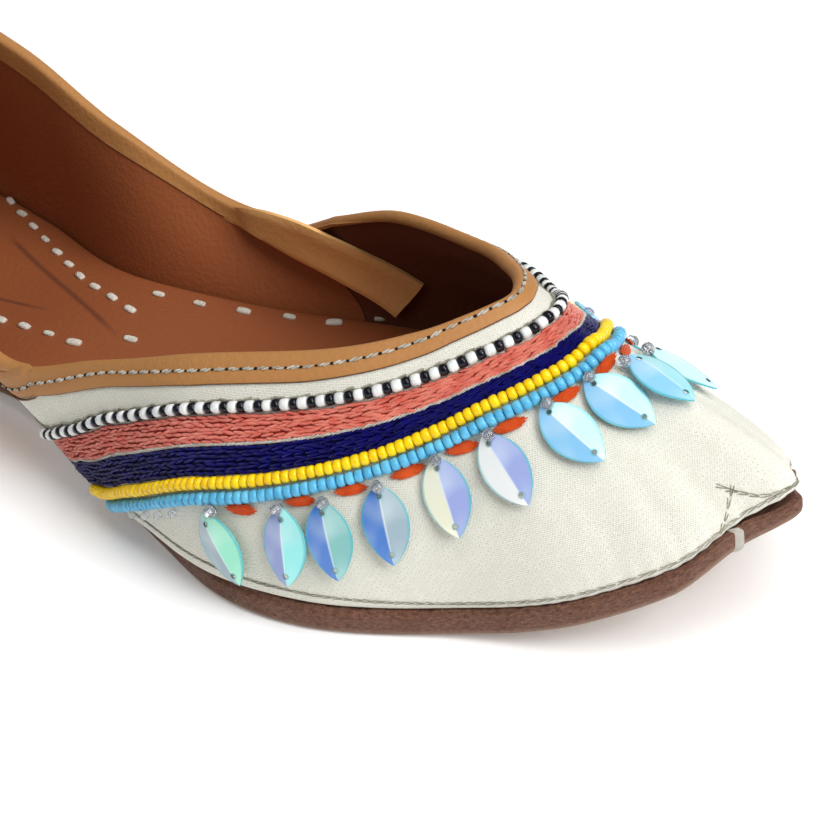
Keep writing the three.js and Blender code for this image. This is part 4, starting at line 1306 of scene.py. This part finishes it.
stitched_band("coral", (0.0, 1.15), (0.40, 0.0), CORAL_BED_SHADE, CORAL, 23)
stitched_band("navy", (0.42, 0.1), (1.0, -3.6), NAVY_BED, NAVY, 29)

# %% [markdown]
# ## Cords and stitches
# A twisted silver cord parts the two bands, a thin thread couches the first bead row, a lockstitch holds
# the binding, and a chain stitch sews the cloth down along the sole. All are short plies on a line.

# %% Sew the cords
CORD_SHARE = 0.41
cord_w = row_range(lambda x: trim_line(x, CORD_SHARE))
cord_line = surface_line(cord_w, trim_line(cord_w, CORD_SHARE), 0.5)
sew("silver_cord", [cord_line], cord_shape, CORD, "cord_thread",
    pitch=0.85 * MM, slant=0.3, wander=0.08, size_spread=0.12, seed=31)
couch_w = row_range(lambda x: trim_line(x, 0.0, -1.3))
couch_down = trim_line(couch_w, 0.0, -1.2) + 0.16 * np.sin(couch_w * LENGTH * 1.7)
sew("couching_thread", [surface_line(couch_w, couch_down, 0.12)], ply_shape, CHAIN, "cord_thread",
    pitch=1.5 * MM, slant=0.05, wander=0.25, size_spread=0.15, seed=37)

# %% Sew the binding
LOCK_PITCH, LOCK_HIGH = 1.35 * MM, 0.12
lock_w = row_range(lambda x: binding_low(x) - STITCH_ABOVE)
lock_edge, lock_low = wing_edge(lock_w), binding_low(lock_w)
lock_down = np.maximum(lock_low - STITCH_ABOVE, FOLD_TOP)
lock_share = (lock_down - lock_edge - FOLD_TOP) / (lock_low - lock_edge - FOLD_TOP)
lock_rim = cloth_height(lock_w, lock_edge + RIM_PROBE)
lock_base = lock_rim + (cloth_height(lock_w, lock_low) - lock_rim) * np.clip(lock_share, 0, 1)
lock_points = around(lock_w, lock_down, lock_base + LIP + LOCK_HIGH)
lock_line = (lock_points, facing(lock_w, lock_down))
sew("lockstitch", [lock_line], lock_shape, CORD, "cord_thread", pitch=LOCK_PITCH, every=2, phase=0,
    wander=0.12, size_spread=0.1, seed=41)
# painted shade: small near-black shapes between the stitches stand for the shade in the needle holes
sew("lockstitch_holes", [lock_line], hole_shape, NEEDLE_HOLE_SHADE, "tan_leather", pitch=LOCK_PITCH, every=2, phase=1,
    wander=0.1, size_spread=0.15, seed=43)


# %% Sew the cloth to the sole
FEATHER_U = (0.50, 0.65, 0.74, 0.80, 0.87, 0.94, 1.0)
FEATHER_UP = (2.4, 3.1, 2.3, 1.5, 1.3, 1.2, 1.2)


def feather_line(w):
    u, _ = folded(w)
    return rib_length(u) - np.interp(u, FEATHER_U, FEATHER_UP)


seam_w = np.linspace(WING_REAR + 0.004, 2 - WING_REAR - 0.004, 1600)
seam = surface_line(seam_w, feather_line(seam_w), 0.06)
sew("feather_chain", [seam], chain_shape, CHAIN, "cord_thread", pitch=1.7 * MM, wander=0.08,
    size_spread=0.1, seed=47)


# %% [markdown]
# ## Toe gusset
# The point of the vamp is folded under and chain-stitched: one seam runs out to the tip and one runs
# down to the sole, with a plain triangle of cloth between them.

# %% Sew the toe
def path_above_sole(places, height=0.06):
    """A line through a few (w, distance above the foot of the cloth)."""
    path = smooth_path(places, 60)
    u, _ = folded(path[:, 0])
    return surface_line(path[:, 0], rib_length(u) - path[:, 1], height)


gusset = [
    path_above_sole([(0.9745, 6.2), (0.976, 5.6), (0.977, 4.9)]),
    path_above_sole([(0.977, 4.9), (0.9825, 3.0), (0.987, 2.0), (0.992, 1.6), (0.998, 1.3), (1.006, 1.2)]),
    path_above_sole([(0.977, 4.9), (0.9732, 3.9), (0.970, 3.1), (0.966, 2.0), (0.9615, 1.4)]),
]
sew("toe_gusset_chain", gusset, chain_shape, CHAIN, "cord_thread", pitch=1.6 * MM, wander=0.1,
    size_spread=0.1, seed=53)

# %% [markdown]
# ## Orange bundles and clear beads
# Between the leaves lie little lozenges of orange floss, and a clear glass bead holds the top of every
# leaf. Where the first leaf has not yet begun, a few clear beads stand alone.

# %% Leaf places
# partly painted light: each half gets the film's tint together with the light and reflection its facet
# throws
FILM_AND_FACET_LIGHT = {"blue": "5285D6", "sky": "8CCBF4", "lilac": "98A6DA", "grey": "9DB2BE", "mint": "9DEBCD",
        "aqua": "96E6E4", "pale": "CDF5F8", "ice": "A8E6EE", "cream": "FFFFE6", "white": "FCFFFF",
        "teal": "86BFBD"}
# columns: u, distance below the last row, tilt in degrees, colour of the left and of the right half
OUTER_LEAVES = (
    (0.677, 8.0, 27, "grey", "mint"),
    (0.718, 8.6, 4, "lilac", "aqua"),
    (0.744, 9.0, 13, "blue", "teal"),
    (0.776, 8.8, 9, "blue", "grey"),
    (0.816, 8.1, 8, "cream", "lilac"),
    (0.863, 8.3, 13, "white", "lilac"),
    (0.918, 8.0, 13, "sky", "ice"),
    (0.970, 8.0, 7, "sky", "ice"),
)
INNER_LEAVES = (
    (0.998, 10.2, 11, "ice", "sky"),
    (0.938, 10.8, 18, "sky", "pale"),
    (0.845, 9.4, 11, "lilac", "white"),
    (0.805, 9.2, 9, "lilac", "cream"),
    (0.770, 8.6, 9, "grey", "blue"),
    (0.738, 8.8, 9, "teal", "blue"),
    (0.706, 8.4, 8, "aqua", "lilac"),
    (0.668, 8.1, 22, "mint", "grey"),
)
LEAVES = [*OUTER_LEAVES, *((2 - u, *rest) for u, *rest in INNER_LEAVES)]
print("leaves:", len(LEAVES))


# %% Sew bundles and clear beads
def short_line(w, down, height, reach=0.004):
    """A very short line. The sewing tree keeps its two ends."""
    ends = np.array([w - reach, w + reach])
    return surface_line(ends, np.array([down, down]), height)


def sew_single(name, places, shape, finish, slot, lift, seed, slant=0.0):
    """One shape at each (w, down): the pitch is longer than any line, and every second end is used."""
    lines = [short_line(w, down, lift) for w, down in places]
    sew(name, lines, shape, finish, slot, pitch=1.0, every=2, phase=0, slant=slant, wander=0.15,
        size_spread=0.06, seed=seed)


BEAD_ABOVE, BEAD_LIFT = 6.0, 1.7  # a clear bead sits above the middle of its leaf
BUNDLES_W = (0.694, 0.7295, 0.759, 0.795, 0.837, 0.882, 0.936, 0.995, 1.045, 1.110, 1.168, 1.212, 1.246,
             1.278, 1.313)
sew_single("orange_bundles", [(w, float(trim_line(w, 1.0, 2.0))) for w in BUNDLES_W], bundle_shape, ORANGE,
           "orange_thread", 0.35, 59)
tops = [(w, float(trim_line(w, 1.0, below - BEAD_ABOVE))) for w, below, *_ in LEAVES]
sew_single("clear_beads", tops, clear_shape, CLEAR_BEAD, "clear_bead", BEAD_LIFT, 61, slant=0.5)
sew_single("clear_bead_linings", tops, core_shape, SILVER, "clear_bead", BEAD_LIFT, 61, slant=0.5)
TINY_W = (0.588, 0.606, 0.623, 0.640)
tiny = [(w, float(trim_line(w, 1.0, 2.2))) for w in TINY_W]
sew_single("clear_beads_rear", [p for p in tiny if rib_length(p[0]) > p[1] + 1.2], tiny_shape, CLEAR_BEAD,
           "clear_bead", 0.6, 67, slant=0.3)

# %% [markdown]
# ## Leaf sequins
# Each leaf is cut from thin iridescent film and creased along the middle, so that its halves throw
# different colours. A leaf is a small grid of points: pointed at both ends, raised along the crease,
# with a rim and a real thickness. The two colours go on as a colour attribute: the film's tint of each
# half with the light its facet throws painted in.

# %% Cut and place the leaves
LEAF_ROWS, LEAF_SIDES = 25, 9
LEAF_LIFT, TIP_LIFT = 1.05, 0.35  # a leaf hangs over the cloth, and its lower end stands out further
LEAF_ROUND, LEAF_BLUNT, LEAF_TAPER = 2.1, 0.85, 0.10  # the lower half is a little narrower
RIM_FILM = "6FC6CC"
LEAF_ROLL = {10: 7.0}  # degrees by which a leaf tips over toward the ridge of the vamp


def leaf_axes(number, w, below, tilt):
    """Middle of a leaf, and its directions outward, along and across."""
    down = float(trim_line(w, 1.0, below))
    middle = around(w, down, float(cloth_height(w, down)) + LEAF_LIFT)
    out = facing(w, down)
    fall = around(w, down + 1) - around(w, down - 1)
    fall /= np.linalg.norm(fall)
    forward = around(w + 0.003, down) - around(w - 0.003, down)
    forward -= fall * (forward @ fall)
    forward /= np.linalg.norm(forward)
    if w > 1:
        forward = -forward
    angle = np.radians(tilt)
    long = fall * np.cos(angle) + forward * np.sin(angle)
    across = np.cross(out, long)
    if across @ forward < 0:
        across = -across
    roll = np.radians(LEAF_ROLL.get(number, 0.0))
    middle = middle + out * LEAF_HALF * 0.7 * np.sin(roll)
    tipped = out * np.cos(roll) + across * np.sin(roll)
    return middle, tipped, long, across * np.cos(roll) - out * np.sin(roll)


def leaf_faces():
    size = LEAF_ROWS * LEAF_SIDES
    faces = []
    for i in range(LEAF_ROWS - 1):
        for k in range(LEAF_SIDES - 1):
            quad = (i * LEAF_SIDES + k, i * LEAF_SIDES + k + 1, (i + 1) * LEAF_SIDES + k + 1,
                    (i + 1) * LEAF_SIDES + k)
            faces += [quad, tuple(n + size for n in quad[::-1])]
        for k in (0, LEAF_SIDES - 1):
            a, b = i * LEAF_SIDES + k, (i + 1) * LEAF_SIDES + k
            faces.append((a, b, b + size, a + size))
    return faces


def paint_leaf(piece, edge, left, right):
    """Colour of each half, and the distance from the crease for the rim."""
    mesh = piece.data
    side = np.tile(np.broadcast_to(edge, (LEAF_ROWS, LEAF_SIDES)).ravel(), 2)
    mesh.attributes.new("across", "FLOAT", "POINT").data.foreach_set("value", np.abs(side))
    colours = mesh.color_attributes.new("film_and_facet_light", "FLOAT_COLOR", "CORNER")
    centre = np.array([np.mean([side[v] for v in face.vertices]) for face in mesh.polygons])
    rim = np.array([max(face.vertices) >= LEAF_ROWS * LEAF_SIDES > min(face.vertices)
                    for face in mesh.polygons])
    values = np.empty((len(mesh.loops), 4))
    for face, middle, is_rim in zip(mesh.polygons, centre, rim):
        half = FILM_AND_FACET_LIGHT[left] if middle < 0 else FILM_AND_FACET_LIGHT[right]
        values[list(face.loop_indices)] = linear(RIM_FILM if is_rim else half)
    colours.data.foreach_set("color", values.ravel())


def leaf_mesh(number, w, below, tilt, left, right):
    middle, out, long, across = leaf_axes(number, w, below, tilt)
    share = np.linspace(-1, 1, LEAF_ROWS)[:, None]
    edge = np.linspace(-1, 1, LEAF_SIDES)[None, :]
    width = LEAF_HALF * np.clip(1 - np.abs(share) ** LEAF_ROUND, 0, 1) ** LEAF_BLUNT
    width = width * (1 - LEAF_TAPER * share)
    fold = LEAF_FOLD * (width / LEAF_HALF) * (1 - np.abs(edge))
    tip_lift = TIP_LIFT * smooth_step(share, 0.1, 1.0)
    layers = []
    for height in (LEAF_THICK, 0.0):
        rise = (fold + tip_lift + height)[..., None]
        layers.append(middle + long * (share * LEAF_LENGTH / 2)[..., None]
                      + across * (edge * width)[..., None] + out * rise)
    points = np.stack(layers).reshape(-1, 3)
    uv = np.stack([edge * width, np.broadcast_to(share * LEAF_LENGTH / 2, (LEAF_ROWS, LEAF_SIDES))], -1)
    piece = make_piece(f"leaf_{number:02d}", points, leaf_faces(), SEQUIN, np.concatenate([uv, uv]),
                       sharp=12.0)
    paint_leaf(piece, edge, left, right)
    return settle(piece, "leaf_sequin", f"leaf_sequin_{number:02d}")


for number, row in enumerate(LEAVES, 1):
    leaf_mesh(number, *row)

# %% [markdown]
# ## Stitches inside
# White thread shows on the insole and at the foot of the lining, where the maker's needle came through.

# %% Sew the inside
INSOLE_TOP = SOLE_THICK + SEAT + INSOLE_THICK


def insole_line(places):
    flat = np.array(places, float)
    t = np.linspace(0, len(flat) - 1, 80)
    x, y = (np.interp(t, np.arange(len(flat)), flat[:, k]) for k in (0, 1))
    z = sole_bottom(x) + INSOLE_TOP + 0.12
    return np.column_stack([x, y, z]), np.tile([0.0, 0.0, 1.0], (len(x), 1))


inner_row = insole_line([(-104, 27), (-87, 29.5), (-72, 23.5), (-57, 17.5), (-44, 12), (-27, 8)])
outer_row = insole_line([(-104, -14), (-75, -9), (-47, -6.5), (-28, -6.2)])
sew("insole_stitches", [inner_row, outer_row], dash_shape, WHITE_THREAD, "white_thread",
    pitch=6.4 * MM, wander=0.25, size_spread=0.15, seed=71)
single = insole_line([(-19.5, 0.6), (-17.5, 1.1)])
sew("insole_stitch_front", [single], dash_shape, WHITE_THREAD, "white_thread", pitch=6.4 * MM, every=2)
wall_row = insole_line([(-26, 15), (-15, 17.5), (-6.5, 21), (1, 24.3), (9, 27), (16, 33)])
sew("lining_stitches", [wall_row], dash_shape, WHITE_THREAD, "white_thread", pitch=8.4 * MM, wander=0.2,
    size_spread=0.2, seed=73)

for shape in SHAPES:
    bpy.data.objects.remove(shape, do_unlink=True)
print("shapes put away")

# %% [markdown]
# ## Floor, light and camera
# The shoe stands on a plain pale floor. A large soft light hangs above, a second one shines from the toe,
# and a weak one lifts the near side from the left. They leave hardly any shadow, as on a studio table.
# The camera looks down at the toe from the outer side, slightly rolled.

# %% Floor and lights
FLOOR_HALF, FLOOR_GLOW, SKY_STRENGTH = 3.0, 0.12, 0.24
floor_mesh = bpy.data.meshes.new("floor")
floor_corners = [(x * FLOOR_HALF, y * FLOOR_HALF, 0) for x, y in ((-1, -1), (1, -1), (1, 1), (-1, 1))]
floor_mesh.from_pydata(floor_corners, [], [(0, 1, 2, 3)])
floor = bpy.data.objects.new("floor", floor_mesh)
scene.collection.objects.link(floor)
paper, tree, shader = new_material(
    "paper", roughness=0.9, emission_color=(1.0, 1.0, 1.0, 1.0), emission_strength=FLOOR_GLOW)
tooth = noise(tree, coordinates(tree, "Object"), 3.0)
give(tree, shader, base_color=mix_colours(tree, tooth, "FAFAF9", "FFFFFF"))
floor_mesh.materials.append(paper)

world = bpy.data.worlds.new("studio")
world.use_nodes = True
world.node_tree.nodes["Background"].inputs["Color"].default_value = (1.0, 1.0, 1.0, 1.0)
world.node_tree.nodes["Background"].inputs["Strength"].default_value = SKY_STRENGTH
scene.world = world

# columns: name, place, size, power
LIGHTS = (
    ("softbox_top", (0.44, 0.08, 1.15), 1.0, 9.3),
    ("softbox_left", (-0.35, -0.9, 0.8), 0.5, 0.6),
    ("softbox_toe", (1.05, 0.0, 0.75), 0.6, 10.0),
)
LIT_PLACE = Vector((0.04, 0.0, 0.02))
for name, place, size, power in LIGHTS:
    light = bpy.data.lights.new(name, "AREA")
    light.energy = power
    light.size = size
    lamp = bpy.data.objects.new(name, light)
    lamp.location = place
    lamp.rotation_euler = (LIT_PLACE - Vector(place)).to_track_quat("-Z", "Y").to_euler()
    scene.collection.objects.link(lamp)
scene.view_settings.view_transform = "Standard"
print("lights:", len(LIGHTS))

# %% Camera
ELEVATION, HEADING, ROLL = np.radians(34.1), np.radians(-46.6), np.radians(7.1)
CAMERA_PLACE = (0.2858, -0.24695, 0.247)
SENSOR, FOCAL_PIXELS, PICTURE_PIXELS = 36.0, 2400, 828
camera_data = bpy.data.cameras.new("camera")
camera_data.sensor_width = SENSOR
camera_data.lens = SENSOR * FOCAL_PIXELS / PICTURE_PIXELS
camera = bpy.data.objects.new("camera", camera_data)
scene.collection.objects.link(camera)
forward = Vector((-np.cos(HEADING) * np.cos(ELEVATION), -np.sin(HEADING) * np.cos(ELEVATION),
                  -np.sin(ELEVATION)))
right = forward.cross(Vector((0, 0, 1))).normalized()
up = right.cross(forward)
side_axis = right * np.cos(ROLL) - up * np.sin(ROLL)
up_axis = right * np.sin(ROLL) + up * np.cos(ROLL)
axes = Matrix((side_axis, up_axis, -forward)).transposed().to_4x4()
camera.matrix_world = Matrix.Translation(CAMERA_PLACE) @ axes
scene.camera = camera
print("lens:", round(camera_data.lens, 1), "mm")

# %% Update the view layer
bpy.context.view_layer.update()
